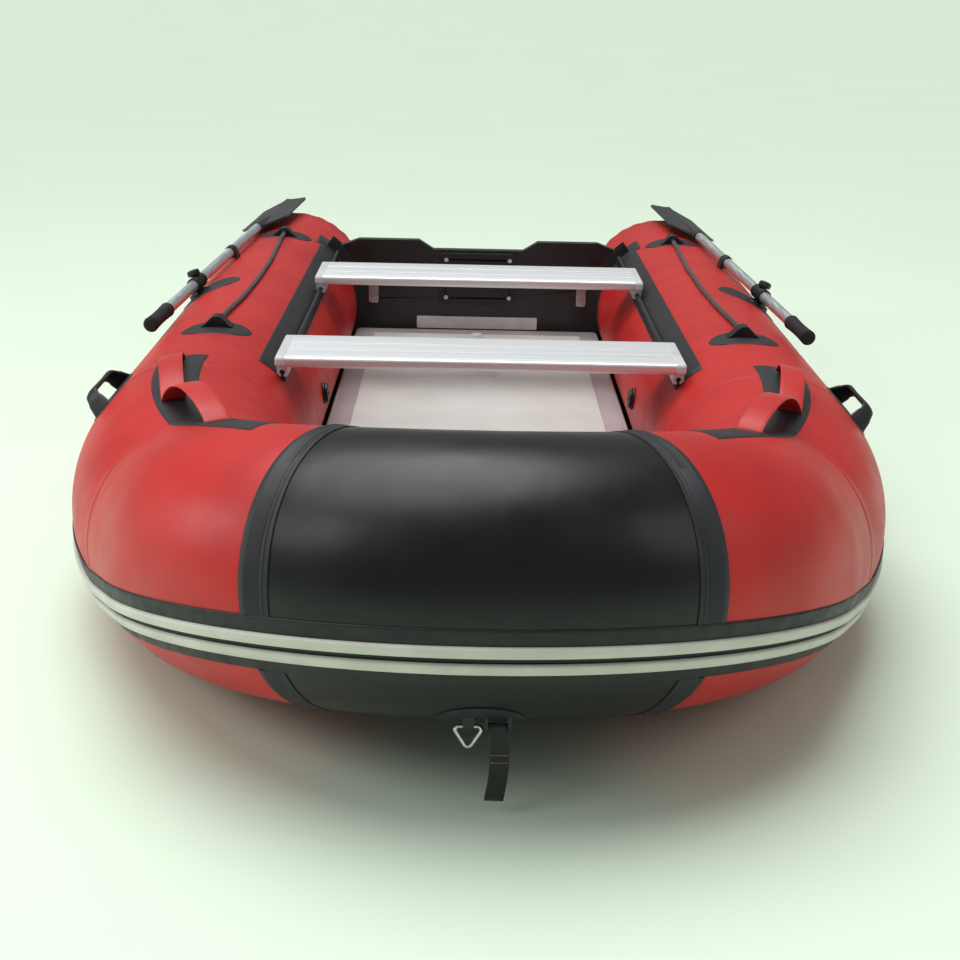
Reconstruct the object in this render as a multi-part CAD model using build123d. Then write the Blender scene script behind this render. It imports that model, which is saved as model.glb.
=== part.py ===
"""Three-metre inflatable dinghy: red side tubes, black bow, air deck, transom, two seats and two oars.

Millimetres. +Z is up, the bow points along -Y and the port side is +X. The origin is on the ground
under the middle of the boat's length and breadth. The hull tubes follow one centre line from each
stern to the middle of the bow. A station is a distance along that line, 0 at the middle of the bow and
growing aft, and an angle round the tube is 0 outboard, 90 on top, 180 inboard and -90 underneath.
"""
from math import acos, cos, degrees, pi, radians, sin, sqrt, tan
import os

from build123d import *

# ---- hull ----
LENGTH = 3000.0
TUBE_R = 210.0
HALF_SPACING = 560.0          # tube centre line from the middle of the boat
SKIN = 1.2                    # coated fabric
SHOULDER_R = 815.0            # first, flat part of the bow curve
SHOULDER_TURN = 24.6          # degrees
LIFT_R = 285.0                # where the tubes start to climb
LIFT_TURN = 14.3              # degrees
CLIMB = 120.0                 # straight run before the last curve
SEAM_STATION = 225.0          # red and black chambers meet here
CONE_LENGTH = 235.0
CONE_END_R = 70.0
END_CAP = 12.0                # moulded cap on the stern cone
GAP = 0.3                     # between pieces that don't touch

# ---- bands and patches on the tubes ----
TAPE_WIDTH, TAPE_T = 34.0, 1.6
STRAKE_ANGLE, STRAKE_HALF_ANGLE, STRAKE_T = -18.5, 12.5, 3.0
RIB_ANGLES, RIB_HALF_ANGLE, RIB_T = (-14.9, -22.1), 2.3, 6.0
PATCH_T = 1.5
LAP_LOW, LAP_HIGH = -126.0, -106.0      # where the bottom fabric is glued to the tube
BOTTOM_ANGLE = -118.0                   # where the bottom leaves the tube
BOTTOM_SPANS = (1, 4, 5, 1, 6)          # flat spans of the bottom along each stretch
BOTTOM_END = 85.0                       # station where the bottom ends at the bow

# ---- bottom, keel and deck ----
GUARD_T, GUARD_WIDTH = 4.0, 40.0
DECK_TOP, DECK_T = 140.0, 65.0
DECK_GAP = 7.0                # deck edge to the tube, in plan
DECK_NOSE_Y = -905.0
DECK_ROUND = 12.0
EDGE_TAPE_WIDTH, EDGE_TAPE_T = 48.0, 1.0
DECK_VALVE_Y, PLATE_X, PLATE_Y = 860.0, 12.0, 500.0
KEEL_CONE, KEEL_TIP_R = 120.0, 10.0

# ---- transom ----
TRANSOM_Y, TRANSOM_T = 950.0, 25.0      # inner face, thickness
TRANSOM_TOP, MOTOR_NOTCH_Z = 400.0, 374.0
NOTCH_HALF, NOTCH_SLOPE = 130.0, 42.0
SHOULDER_HALF, TRANSOM_HALF, CORNER_Z = 345.0, 420.0, 372.0
LIP_T, LIP_HEIGHT, FOOT_WIDTH = 3.0, 27.0, 42.0
PAD_WIDTH, PAD_HEIGHT, PAD_T, PAD_DROP = 225.0, 150.0, 8.0, 9.0
PAD_SCREW_R, PAD_SCREW_X, PAD_SCREW_Z = 3.0, 92.0, 55.0
PAD_SCREW_SINK, PAD_SCREW_HEAD = 0.5, 2.5
EYE_X, EYE_Z, EYE_SPREAD, EYE_ROD_R = 303.0, 245.0, 32.0, 4.0
EYE_PLATE, EYE_PLATE_T, EYE_REACH = (28.0, 62.0), 3.0, 22.0
DRAIN_X, DRAIN_Z, DRAIN_R, DRAIN_BORE_R = 230.0, 46.0, 18.0, 12.5

# ---- seats ----
SEAT_TOP, SEAT_T, SEAT_DEPTH, SEAT_HALF = 408.0, 22.0, 190.0, 394.0
SEAT_WALL, SEAT_ROUND, SEAT_WEBS = 2.2, 8.0, 3
FRONT_SEAT_Y, REAR_SEAT_Y = -317.0, 474.0
RAIL_LOW, RAIL_HIGH, RAIL_T = 121.0, 140.0, 3.0
RAIL_X, RAIL_WEB, BEAD_R, BEAD_Z = 403.0, 5.0, 5.5, 368.0
RAIL_START, RAIL_END = -372.0, 905.0
RAIL_FIT = 0.3                # bead in its channel
SHOE_WALL, SHOE_LENGTH = 5.0, 130.0

# ---- valves ----
VALVE_Y, VALVE_ANGLE, BOW_VALVE_ANGLE = -60.0, 174.0, 168.0
BOW_VALVE_RISE = 1.4          # the bow is hollow-curved under the valve's flat flange
VALVE_FLANGE_R, VALVE_FLANGE_T = 25.0, 4.0
VALVE_BARREL_R, VALVE_BARREL, VALVE_BORE_R = 16.0, 30.0, 10.0
VALVE_WEB_DEPTH, VALVE_WEB_T = 14.0, 4.0
STEM_R, STEM_FIT, STEM_BUTTON_R, POPPET_R = 3.0, 0.05, 4.5, 9.0
CAP_R, CAP_T, CAP_BOSS = 21.0, 6.0, 3.0

# ---- handles and lifelines ----
STRAP_WIDTH, STRAP_T = 44.0, 3.0
HANDLE_STATION, HANDLE_ANGLE = 1085.0, 40.0
HANDLE_LENGTH, HANDLE_RISE, HANDLE_WIDTH, HANDLE_BAR = 170.0, 38.0, 30.0, 10.0
HANDLE_PATCH_ALONG, HANDLE_PATCH_ACROSS = 115.0, 42.0
ROPE_R = 5.0
HOLDER_WIDTH, HOLDER_LENGTH, HOLDER_HEIGHT = 62.0, 34.0, 24.0
FRONT_HOLDER_Y, REAR_HOLDER_Y = -208.0, 872.0
HOLDER_ANGLES = (90.0, 93.0)

# The rope's route on the port side, by hand. It lies on the tube.
LIFELINE = [
    (561, -190.4, 426.5), (558, -118, 427.5), (550, -30, 426.0), (544, 68, 425.5), (541, 172, 425.6),
    (538, 280, 424.9), (539, 388, 425.3), (538, 494, 425.0), (543, 598, 425.7), (545, 692, 425.4),
    (550, 778, 426.8), (549, 854.4, 427.4),
]

# ---- oars ----
LOCK_X, LOCK_Y, LOCK_Z = 689.0, 270.0, 409.0    # where oar and pin cross
PIN_TILT = 70.0               # pin from the outboard level, degrees
STOW_RUN = -0.094             # sideways per millimetre aft when stowed
SHAFT_R, SHAFT_WALL = 13.0, 1.6
GRIP_R, GRIP_LENGTH, GRIP_REACH = 17.0, 135.0, 395.0   # reach: lock to the grip's end
BLADE_START, BLADE_LENGTH, BLADE_WIDTH, BLADE_T = 660.0, 430.0, 140.0, 6.0
COLLAR_R, COLLAR_LENGTH = 17.5, 70.0
PIN_R, PIN_FIT, KNOB_R, KNOB_T = 6.0, 0.05, 16.0, 14.0
BOSS_R, LOCK_PATCH_ANGLE, LOCK_PATCH_ALONG, LOCK_PATCH_ACROSS = 24.0, 61.0, 62.0, 82.0
CLIP_REACH, CLIP_LENGTH, CLIP_WALL, CLIP_FIT, CLIP_FOOT = 345.0, 30.0, 3.0, 0.5, 44.0

# ---- tow point under the bow ----
TOW_ANGLE, TOW_ALONG, TOW_ACROSS = -60.0, 62.0, 48.0
RING_X, RING_WIRE, RING_WIDTH, RING_HEIGHT, RING_FIT = -18.0, 3.0, 46.0, 38.0, 0.06
RING_ROUND = 6.0
TAB_WIDTH, TAB_R = 16.0, 8.0
LOOP_X, LOOP_WIDTH, LOOP_LENGTH, LOOP_T = 24.0, 28.0, 118.0, 3.0
LOOP_PIN_R, LOOP_EAR, LOOP_FOLD = 3.0, 5.0, 2.0    # fold: half the slot at the loop's end
PIN_DROP = 13.0               # tow pins below the patch

os.makedirs("parts", exist_ok=True)


def save(name, *solids):
    shape = solids[0] if len(solids) == 1 else Compound(children=list(solids))
    export_step(shape, f"parts/{name}.step")


def both(shape):
    return [shape, mirror(shape, about=Plane.YZ)]


def turned(vector, axis, angle):
    """A vector turned by an angle in radians about a unit axis."""
    return vector * cos(angle) + axis.cross(vector) * sin(angle) + axis * (axis.dot(vector) * (1 - cos(angle)))


# ---- centre line of the port tube, from the stern to the middle of the bow ----
class Stretch:
    """One straight or one arc of the centre line: where it starts, which way it goes and turns."""

    def __init__(self, start, along, out, length, towards=None, radius=None):
        self.start, self.along, self.out = start, along, out
        self.length, self.towards, self.radius = length, towards, radius

    def axis(self):
        return Axis(self.start + self.towards * self.radius, self.along.cross(self.towards))

    def plane(self, distance):
        """The tube's cross-section plane: x is outboard, z is forward."""
        if self.radius is None:
            return Plane(self.start + self.along * distance, x_dir=self.out, z_dir=self.along)
        axis, angle = self.along.cross(self.towards), distance / self.radius
        centre = self.start + self.towards * self.radius
        return Plane(centre + turned(self.start - centre, axis, angle),
                     x_dir=turned(self.out, axis, angle), z_dir=turned(self.along, axis, angle))

    def piece(self, profile, first, last):
        """The profile carried from one distance to another."""
        face = self.plane(first) * profile
        if self.radius is None:
            return extrude(face, amount=last - first, dir=self.along)
        return revolve(face, axis=self.axis(), revolution_arc=degrees((last - first) / self.radius))


def centre_line():
    phi, alpha = radians(SHOULDER_TURN), radians(LIFT_TURN)
    inboard, up = Vector(-1, 0, 0), Vector(0, 0, 1)
    stern_y = LENGTH / 2 - END_CAP - CONE_LENGTH
    heading = Vector(-sin(phi), -cos(phi), 0)
    climb = heading * cos(alpha) + up * sin(alpha)
    last_turn = acos(climb.dot(inboard))
    towards = (inboard - climb * climb.dot(inboard)).normalized()
    out = Vector(cos(phi), -sin(phi), 0)
    axis = climb.cross(towards)
    bow_out = turned(out, axis, last_turn)
    bow_up = Vector(-1, 0, 0).cross(bow_out)
    corners = [(a + side * RIB_HALF_ANGLE) for a in RIB_ANGLES for side in (-1, 0, 1)]
    reach = max(-(bow_out * cos(radians(a)) + bow_up * sin(radians(a))).Y for a in corners)
    reach *= TUBE_R + STRAKE_T + RIB_T
    bow_y = reach - LENGTH / 2

    # sideways run: shoulder, lift, climb, then the last arc ends on the middle
    side = SHOULDER_R * (1 - cos(phi)) + sin(phi) * (LIFT_R * sin(alpha) + CLIMB * cos(alpha))
    last_r = (HALF_SPACING - side) / sin(last_turn)
    forward = SHOULDER_R * sin(phi) + cos(phi) * (LIFT_R * sin(alpha) + CLIMB * cos(alpha))
    forward += last_r * (1 - cos(last_turn)) * -(climb - inboard * cos(last_turn)).Y / sin(last_turn)
    shoulder_y = bow_y + forward

    stretches = [Stretch(Vector(HALF_SPACING, stern_y, TUBE_R), Vector(0, -1, 0), Vector(1, 0, 0),
                         stern_y - shoulder_y)]

    def add(length, towards=None, radius=None):
        end = stretches[-1].plane(stretches[-1].length)
        stretches.append(Stretch(end.origin, end.z_dir, end.x_dir, length, towards, radius))

    add(SHOULDER_R * phi, inboard, SHOULDER_R)
    add(LIFT_R * alpha, up, LIFT_R)
    add(CLIMB)
    add(last_r * last_turn, towards, last_r)
    return stretches, shoulder_y, stern_y


STRETCHES, SHOULDER_Y, STERN_Y = centre_line()
TOTAL = sum(s.length for s in STRETCHES)
SIDE_STATION = TOTAL - STRETCHES[0].length      # station of the shoulder


def station_of(y):
    """Station of a place on the straight side."""
    return SIDE_STATION + y - SHOULDER_Y


def section(station):
    """Cross-section plane of the port tube at a station."""
    done = TOTAL - station
    for stretch in STRETCHES:
        if done <= stretch.length:
            return stretch.plane(done)
        done -= stretch.length
    return STRETCHES[-1].plane(STRETCHES[-1].length)


def on_tube(station, angle, height=0.0):
    """Plane on the port tube's surface: x is forward, z stands out of the tube."""
    plane, a = section(station), radians(angle)
    normal = plane.x_dir * cos(a) + plane.y_dir * sin(a)
    return Plane(plane.origin + normal * (TUBE_R + height), x_dir=plane.z_dir, z_dir=normal)


def ring(inner, outer):
    return Circle(outer) - Circle(inner) if inner > 0 else Circle(outer)


def sector(inner, outer, low, high):
    """Part of a ring between two angles round the tube."""
    def at(radius, angle):
        return (radius * cos(radians(angle)), radius * sin(radians(angle)))
    middle = (low + high) / 2
    return make_face([
        ThreePointArc(at(outer, low), at(outer, middle), at(outer, high)),
        Line(at(outer, high), at(inner, high)),
        ThreePointArc(at(inner, high), at(inner, middle), at(inner, low)),
        Line(at(inner, low), at(outer, low)),
    ])


def carried(profile, first, last):
    """A tube profile carried along the port side between two stations, first the nearer to the bow."""
    done, pieces = 0.0, []
    start, end = TOTAL - last, TOTAL - first
    for stretch in STRETCHES:
        a, b = max(start - done, 0.0), min(end - done, stretch.length)
        if b - a > 0.01:
            pieces.append(stretch.piece(profile, a, b))
        done += stretch.length
    whole = pieces[0]
    for piece in pieces[1:]:
        whole = whole + piece
    return whole


def round_the_bow(profile, last):
    half = carried(profile, 0, last)
    return half + mirror(half, about=Plane.YZ)


def tube_solid(first, last, radius=TUBE_R):
    return carried(Circle(radius), first, last)


def cylinder_on(plane, radius, low, high):
    """A cylinder on a plane's axis between two heights."""
    return extrude(plane.offset(low) * Circle(radius), amount=high - low, dir=plane.z_dir)


def hugging(shape, first, last, radius):
    """A block cut to sit on the tube."""
    return shape - tube_solid(first, last, radius)


def oval_patch(station, angle, along, across):
    """A glued oval on the tube."""
    plane, reach = on_tube(station, angle), max(along, across) * 1.3
    skin = carried(sector(TUBE_R, TUBE_R + PATCH_T, angle - 48, angle + 48), station - reach, station + reach)
    cutter = extrude(plane.offset(-40) * Ellipse(along, across), amount=60, dir=plane.z_dir)
    return skin & cutter


# ---- hull tubes ----
def valve_planes():
    side = on_tube(station_of(VALVE_Y), VALVE_ANGLE)
    return {"port": side, "bow": on_tube(0, BOW_VALVE_ANGLE, BOW_VALVE_RISE)}


VALVE_PLANES = valve_planes()


def hull_tubes():
    holes = {name: cylinder_on(plane, VALVE_BARREL_R + GAP, -12, 12) for name, plane in VALVE_PLANES.items()}
    port = carried(ring(TUBE_R - SKIN, TUBE_R), SEAM_STATION, TOTAL) - holes["port"]
    save("port_tube", port)
    save("starboard_tube", mirror(port, about=Plane.YZ))
    save("bow_tube", round_the_bow(ring(TUBE_R - SKIN, TUBE_R), SEAM_STATION) - holes["bow"])
    save("chamber_baffles", *both(carried(Circle(TUBE_R - SKIN), SEAM_STATION, SEAM_STATION + SKIN)))

    tape = sector(TUBE_R, TUBE_R + TAPE_T, STRAKE_ANGLE + STRAKE_HALF_ANGLE + 0.1, 360 + LAP_LOW - 0.1)
    under = sector(TUBE_R, TUBE_R + TAPE_T, LAP_HIGH + 0.1, STRAKE_ANGLE - STRAKE_HALF_ANGLE - 0.1)
    low, high = SEAM_STATION - TAPE_WIDTH / 2, SEAM_STATION + TAPE_WIDTH / 2
    lap = round_the_bow(sector(TUBE_R, TUBE_R + SKIN, LAP_LOW, LAP_HIGH), station_of(TRANSOM_Y + TRANSOM_T))
    save("seam_tapes", *both(carried(tape, low, high)), *both(carried(under, low, high)), lap)


def stern_ends():
    stern = Plane((HALF_SPACING, STERN_Y, TUBE_R), x_dir=(1, 0, 0), z_dir=(0, 1, 0))
    outer = stern * Cone(TUBE_R, CONE_END_R, CONE_LENGTH, align=(Align.CENTER, Align.CENTER, Align.MIN))
    inner = stern * Cone(TUBE_R - SKIN, CONE_END_R - SKIN, CONE_LENGTH,
                         align=(Align.CENTER, Align.CENTER, Align.MIN))
    save("stern_cones", *both(outer - inner))
    end = stern.offset(CONE_LENGTH)
    cap = cylinder_on(end, CONE_END_R, 0, END_CAP) + cylinder_on(end, CONE_END_R - SKIN - 2, -18, 0)
    cap = fillet(cap.edges().filter_by(GeomType.CIRCLE).sort_by(Axis.Y)[-1], END_CAP * 0.6)
    save("stern_end_caps", *both(cap))


def strake():
    low, high = STRAKE_ANGLE - STRAKE_HALF_ANGLE, STRAKE_ANGLE + STRAKE_HALF_ANGLE
    save("rub_strake", round_the_bow(sector(TUBE_R, TUBE_R + STRAKE_T, low, high), TOTAL))
    ribs = []
    for angle in RIB_ANGLES:
        rib = sector(TUBE_R + STRAKE_T, TUBE_R + STRAKE_T + RIB_T, angle - RIB_HALF_ANGLE, angle + RIB_HALF_ANGLE)
        ribs.append(round_the_bow(rib, TOTAL))
    save("strake_ribs", *ribs)


# ---- bottom fabric, keel and deck ----
def bottom_point(station):
    """Where the bottom meets the fabric lapped on the tube."""
    return on_tube(station, BOTTOM_ANGLE, 2 * SKIN + GAP).origin


SIDE_BOTTOM = bottom_point(SIDE_STATION)
KEEL_TOP = GUARD_T + SKIN               # inner face of the bottom along the keel


def bottom():
    drop = SIDE_BOTTOM.Z - GUARD_T

    def vee(point, y):
        keel = point.Z - drop * point.X / SIDE_BOTTOM.X
        outline = Polyline((-point.X, point.Z), (0, keel), (point.X, point.Z), (point.X, point.Z + SKIN),
                           (0, keel + SKIN), (-point.X, point.Z + SKIN), close=True)
        return Plane((0, y, 0), x_dir=(1, 0, 0), z_dir=(0, -1, 0)) * make_face(outline)

    last = station_of(TRANSOM_Y + TRANSOM_T)
    stations, done = [last], TOTAL
    for stretch, count in zip(STRETCHES, BOTTOM_SPANS):
        done -= stretch.length
        start = min(done + stretch.length, last)
        end = max(done, BOTTOM_END)
        stations += [start + (end - start) * step / count for step in range(1, count + 1)]
    points = [bottom_point(station) for station in stations]
    sheet = loft([vee(point, point.Y) for point in points], ruled=True)
    save("bottom_fabric", sheet)

    slope = drop / SIDE_BOTTOM.X
    half = GUARD_WIDTH / 2
    guard = make_face(Polyline((-half, 0), (half, 0), (half, GUARD_T + slope * half), (0, GUARD_T),
                               (-half, GUARD_T + slope * half), close=True))
    face = Plane((0, TRANSOM_Y, 0), x_dir=(1, 0, 0), z_dir=(0, -1, 0)) * guard
    save("keel_guard", extrude(face, amount=TRANSOM_Y - SHOULDER_Y, dir=(0, -1, 0)))

    radius = (DECK_TOP - DECK_T - KEEL_TOP) / 2 - GAP
    centre = KEEL_TOP + radius + GAP
    rear = Plane((0, TRANSOM_Y - 40, centre), x_dir=(1, 0, 0), z_dir=(0, -1, 0))
    run = TRANSOM_Y - 40 - SHOULDER_Y - KEEL_CONE

    def chamber(inset):
        upright = (Align.CENTER, Align.CENTER, Align.MIN)
        body = cylinder_on(rear, radius - inset, inset, run)
        return body + rear.offset(run) * Cone(radius - inset, KEEL_TIP_R - inset, KEEL_CONE - inset, align=upright)

    save("keel_tube", chamber(0) - chamber(SKIN))


def deck_outline(inset=0.0):
    """Plan of the air deck, drawn at its own height."""
    half = HALF_SPACING - sqrt(TUBE_R ** 2 - (TUBE_R - DECK_TOP) ** 2) - DECK_GAP + 2.0 - inset
    turn = radians(SHOULDER_TURN)
    radius = SHOULDER_R - HALF_SPACING + half
    centre_x = HALF_SPACING - SHOULDER_R

    def on_arc(angle):
        return (centre_x + radius * cos(angle), SHOULDER_Y - radius * sin(angle))

    stern, nose = TRANSOM_Y - 3 - inset, DECK_NOSE_Y + inset
    right = [Line((half, stern), (half, SHOULDER_Y)),
             ThreePointArc((half, SHOULDER_Y), on_arc(turn / 2), on_arc(turn))]
    tip = on_arc(turn)
    left = [ThreePointArc((-tip[0], tip[1]), (-on_arc(turn / 2)[0], on_arc(turn / 2)[1]), (-half, SHOULDER_Y)),
            Line((-half, SHOULDER_Y), (-half, stern))]
    front = ThreePointArc(tip, (0, nose), (-tip[0], tip[1]))
    return make_face(right + [front] + left + [Line((-half, stern), (half, stern))])


def deck():
    def slab(inset):
        body = extrude(Pos(0, 0, DECK_TOP - DECK_T + inset) * deck_outline(inset), amount=DECK_T - 2 * inset)
        rims = body.edges().filter_by(lambda e: abs(e.bounding_box().size.Z) < 0.01)
        return fillet(rims, DECK_ROUND - inset)

    save("air_deck", slab(0) - slab(SKIN))
    tape = deck_outline(DECK_ROUND) - deck_outline(DECK_ROUND + EDGE_TAPE_WIDTH)
    save("deck_edge_tape", extrude(Pos(0, 0, DECK_TOP) * tape, amount=EDGE_TAPE_T))
    plate = Pos(PLATE_X, PLATE_Y, DECK_TOP) * extrude(RectangleRounded(84, 128, 8), amount=2)
    for step in range(-3, 4):
        plate = plate + Pos(PLATE_X + step * 10, PLATE_Y, DECK_TOP + 2) * extrude(
            RectangleRounded(4, 104, 1.9), amount=2)
    save("deck_plate", plate)
    top = Plane((0, DECK_VALVE_Y, DECK_TOP), x_dir=(1, 0, 0), z_dir=(0, 0, 1))
    valve = cylinder_on(top, 24, 0, 3) + cylinder_on(top, 17, 3, 8)
    valve = fillet(valve.edges().group_by(Axis.Z)[-1], 2)
    save("deck_valve", valve)


# ---- transom ----
def transom_face(outline, y):
    """A face drawn in x and z, standing at a place along the boat and looking aft."""
    return Plane((0, y, 0), x_dir=(1, 0, 0), z_dir=(0, -1, 0)) * outline


def transom():
    drop = SIDE_BOTTOM.Z - GUARD_T
    low_x = SIDE_BOTTOM.X - 25
    low_z = KEEL_TOP + drop * low_x / SIDE_BOTTOM.X
    half = [(0, KEEL_TOP), (low_x, low_z), (TRANSOM_HALF + 60, low_z + 40), (TRANSOM_HALF, CORNER_Z),
            (SHOULDER_HALF, TRANSOM_TOP), (NOTCH_HALF + NOTCH_SLOPE, TRANSOM_TOP), (NOTCH_HALF, MOTOR_NOTCH_Z)]
    outline = half + [(-x, z) for x, z in reversed(half[1:])]
    plate = make_face(Polyline(*outline, close=True))
    for side in (-1, 1):
        plate = plate - Pos(side * HALF_SPACING, TUBE_R) * Circle(TUBE_R + PATCH_T)
    board = extrude(transom_face(plate, TRANSOM_Y + TRANSOM_T), amount=TRANSOM_T, dir=(0, -1, 0))

    def through(x, z, radius, low, high):
        plane = Plane((x, TRANSOM_Y, z), x_dir=(1, 0, 0), z_dir=(0, 1, 0))
        return cylinder_on(plane, radius, low, high)

    eyes, plates = [], []
    out_y = TRANSOM_Y + TRANSOM_T
    for x in (-EYE_X, EYE_X):
        rods, backing = [], []
        for y in (TRANSOM_Y, out_y + EYE_PLATE_T):
            plate_face = transom_face(Pos(x, EYE_Z) * RectangleRounded(*EYE_PLATE, 6), y)
            backing.append(extrude(plate_face, amount=EYE_PLATE_T, dir=(0, -1, 0)))
        for z in (EYE_Z - EYE_SPREAD / 2, EYE_Z + EYE_SPREAD / 2):
            hole = through(x, z, EYE_ROD_R + GAP, -20, TRANSOM_T + 20)
            board = board - hole
            backing = [piece - hole for piece in backing]
            rods.append(through(x, z, EYE_ROD_R, -10, TRANSOM_T + EYE_REACH))
            nut = transom_face(Pos(x, z) * (RegularPolygon(7.5, 6) - Circle(EYE_ROD_R)), TRANSOM_Y - EYE_PLATE_T)
            plates.append(extrude(nut, amount=6, dir=(0, -1, 0)))
        plates += backing
        bend = Axis((x, out_y + EYE_REACH, EYE_Z), (1, 0, 0))
        rod_face = Plane((x, out_y + EYE_REACH, EYE_Z - EYE_SPREAD / 2), x_dir=(1, 0, 0), z_dir=(0, 1, 0))
        eyes.append(rods[0] + revolve(rod_face * Circle(EYE_ROD_R), axis=bend, revolution_arc=180) + rods[1])
    save("tow_eye_bolts", *eyes)
    save("tow_eye_plates", *plates)

    board = board - through(DRAIN_X, DRAIN_Z, DRAIN_BORE_R + 2.5 + GAP, -5, TRANSOM_T + 5)
    drain = Plane((DRAIN_X, TRANSOM_Y, DRAIN_Z), x_dir=(1, 0, 0), z_dir=(0, 1, 0))
    socket = cylinder_on(drain, DRAIN_BORE_R + 2.5, -3, TRANSOM_T + 4) + cylinder_on(drain, DRAIN_R, -3, 0)
    socket = socket - cylinder_on(drain, DRAIN_BORE_R, -10, TRANSOM_T + 10)
    save("drain_socket", socket)
    plug = cylinder_on(drain, DRAIN_BORE_R - GAP, -3, 16) + cylinder_on(drain, DRAIN_R - 3, -9, -3 - GAP)
    plug = plug + cylinder_on(drain, 6, -3 - GAP, -3)
    save("drain_plug", plug)

    pads = {}
    for name, y in (("inner_motor_pad", TRANSOM_Y), ("outer_motor_pad", TRANSOM_Y + TRANSOM_T + PAD_T)):
        z = MOTOR_NOTCH_Z - PAD_DROP - PAD_HEIGHT / 2
        face = transom_face(Pos(0, z) * RectangleRounded(PAD_WIDTH, PAD_HEIGHT, 16), y)
        pads[name] = extrude(face, amount=PAD_T, dir=(0, -1, 0))
    screws = []
    for x in (-PAD_SCREW_X, PAD_SCREW_X):
        for rise in (-PAD_SCREW_Z, PAD_SCREW_Z):
            z = MOTOR_NOTCH_Z - PAD_DROP - PAD_HEIGHT / 2 + rise
            board = board - through(x, z, PAD_SCREW_R + GAP, -5, TRANSOM_T + 5)
            for name in pads:
                pads[name] = pads[name] - through(x, z, PAD_SCREW_R + GAP, -20, TRANSOM_T + 20)
            # heads and nuts are sunk, so that a motor's clamp lies flat on the pads
            head_face, nut_face = -PAD_T + PAD_SCREW_SINK, TRANSOM_T + PAD_T - PAD_SCREW_SINK
            sink_r = PAD_SCREW_R * 2 + GAP
            pads["inner_motor_pad"] -= through(x, z, sink_r, -PAD_T - 1, head_face + PAD_SCREW_HEAD)
            pads["outer_motor_pad"] -= through(x, z, sink_r, nut_face - PAD_SCREW_HEAD, TRANSOM_T + PAD_T + 1)
            shank = through(x, z, PAD_SCREW_R, head_face, nut_face)
            head = through(x, z, PAD_SCREW_R * 2, head_face, head_face + PAD_SCREW_HEAD)
            nut = through(x, z, PAD_SCREW_R * 1.8, nut_face - PAD_SCREW_HEAD, nut_face)
            screws.append(shank + head + nut)
    save("motor_pad_screws", *screws)
    for name, pad in pads.items():
        save(name, pad)

    floor_bar = extrude(transom_face(Pos(0, DECK_TOP + 20) * RectangleRounded(352, 34, 3), TRANSOM_Y),
                        amount=9, dir=(0, -1, 0))
    save("floor_retainer", floor_bar)
    save("transom", board)

    holders = []
    start = station_of(TRANSOM_Y)
    for low, high in ((start - LIP_T, start), (start + TRANSOM_T, start + TRANSOM_T + LIP_T)):
        holders.append(carried(sector(TUBE_R + PATCH_T, TUBE_R + LIP_HEIGHT, 126, 226), low, high))
    foot = carried(sector(TUBE_R, TUBE_R + PATCH_T, 117, 232), start - FOOT_WIDTH, start + TRANSOM_T + FOOT_WIDTH)
    holder = foot + holders[0] + holders[1]
    holder = holder - carried(sector(TUBE_R - 1, TUBE_R + SKIN + GAP, 228, 260), start - 80, start + 80)
    save("transom_holders", *both(holder))


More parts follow.
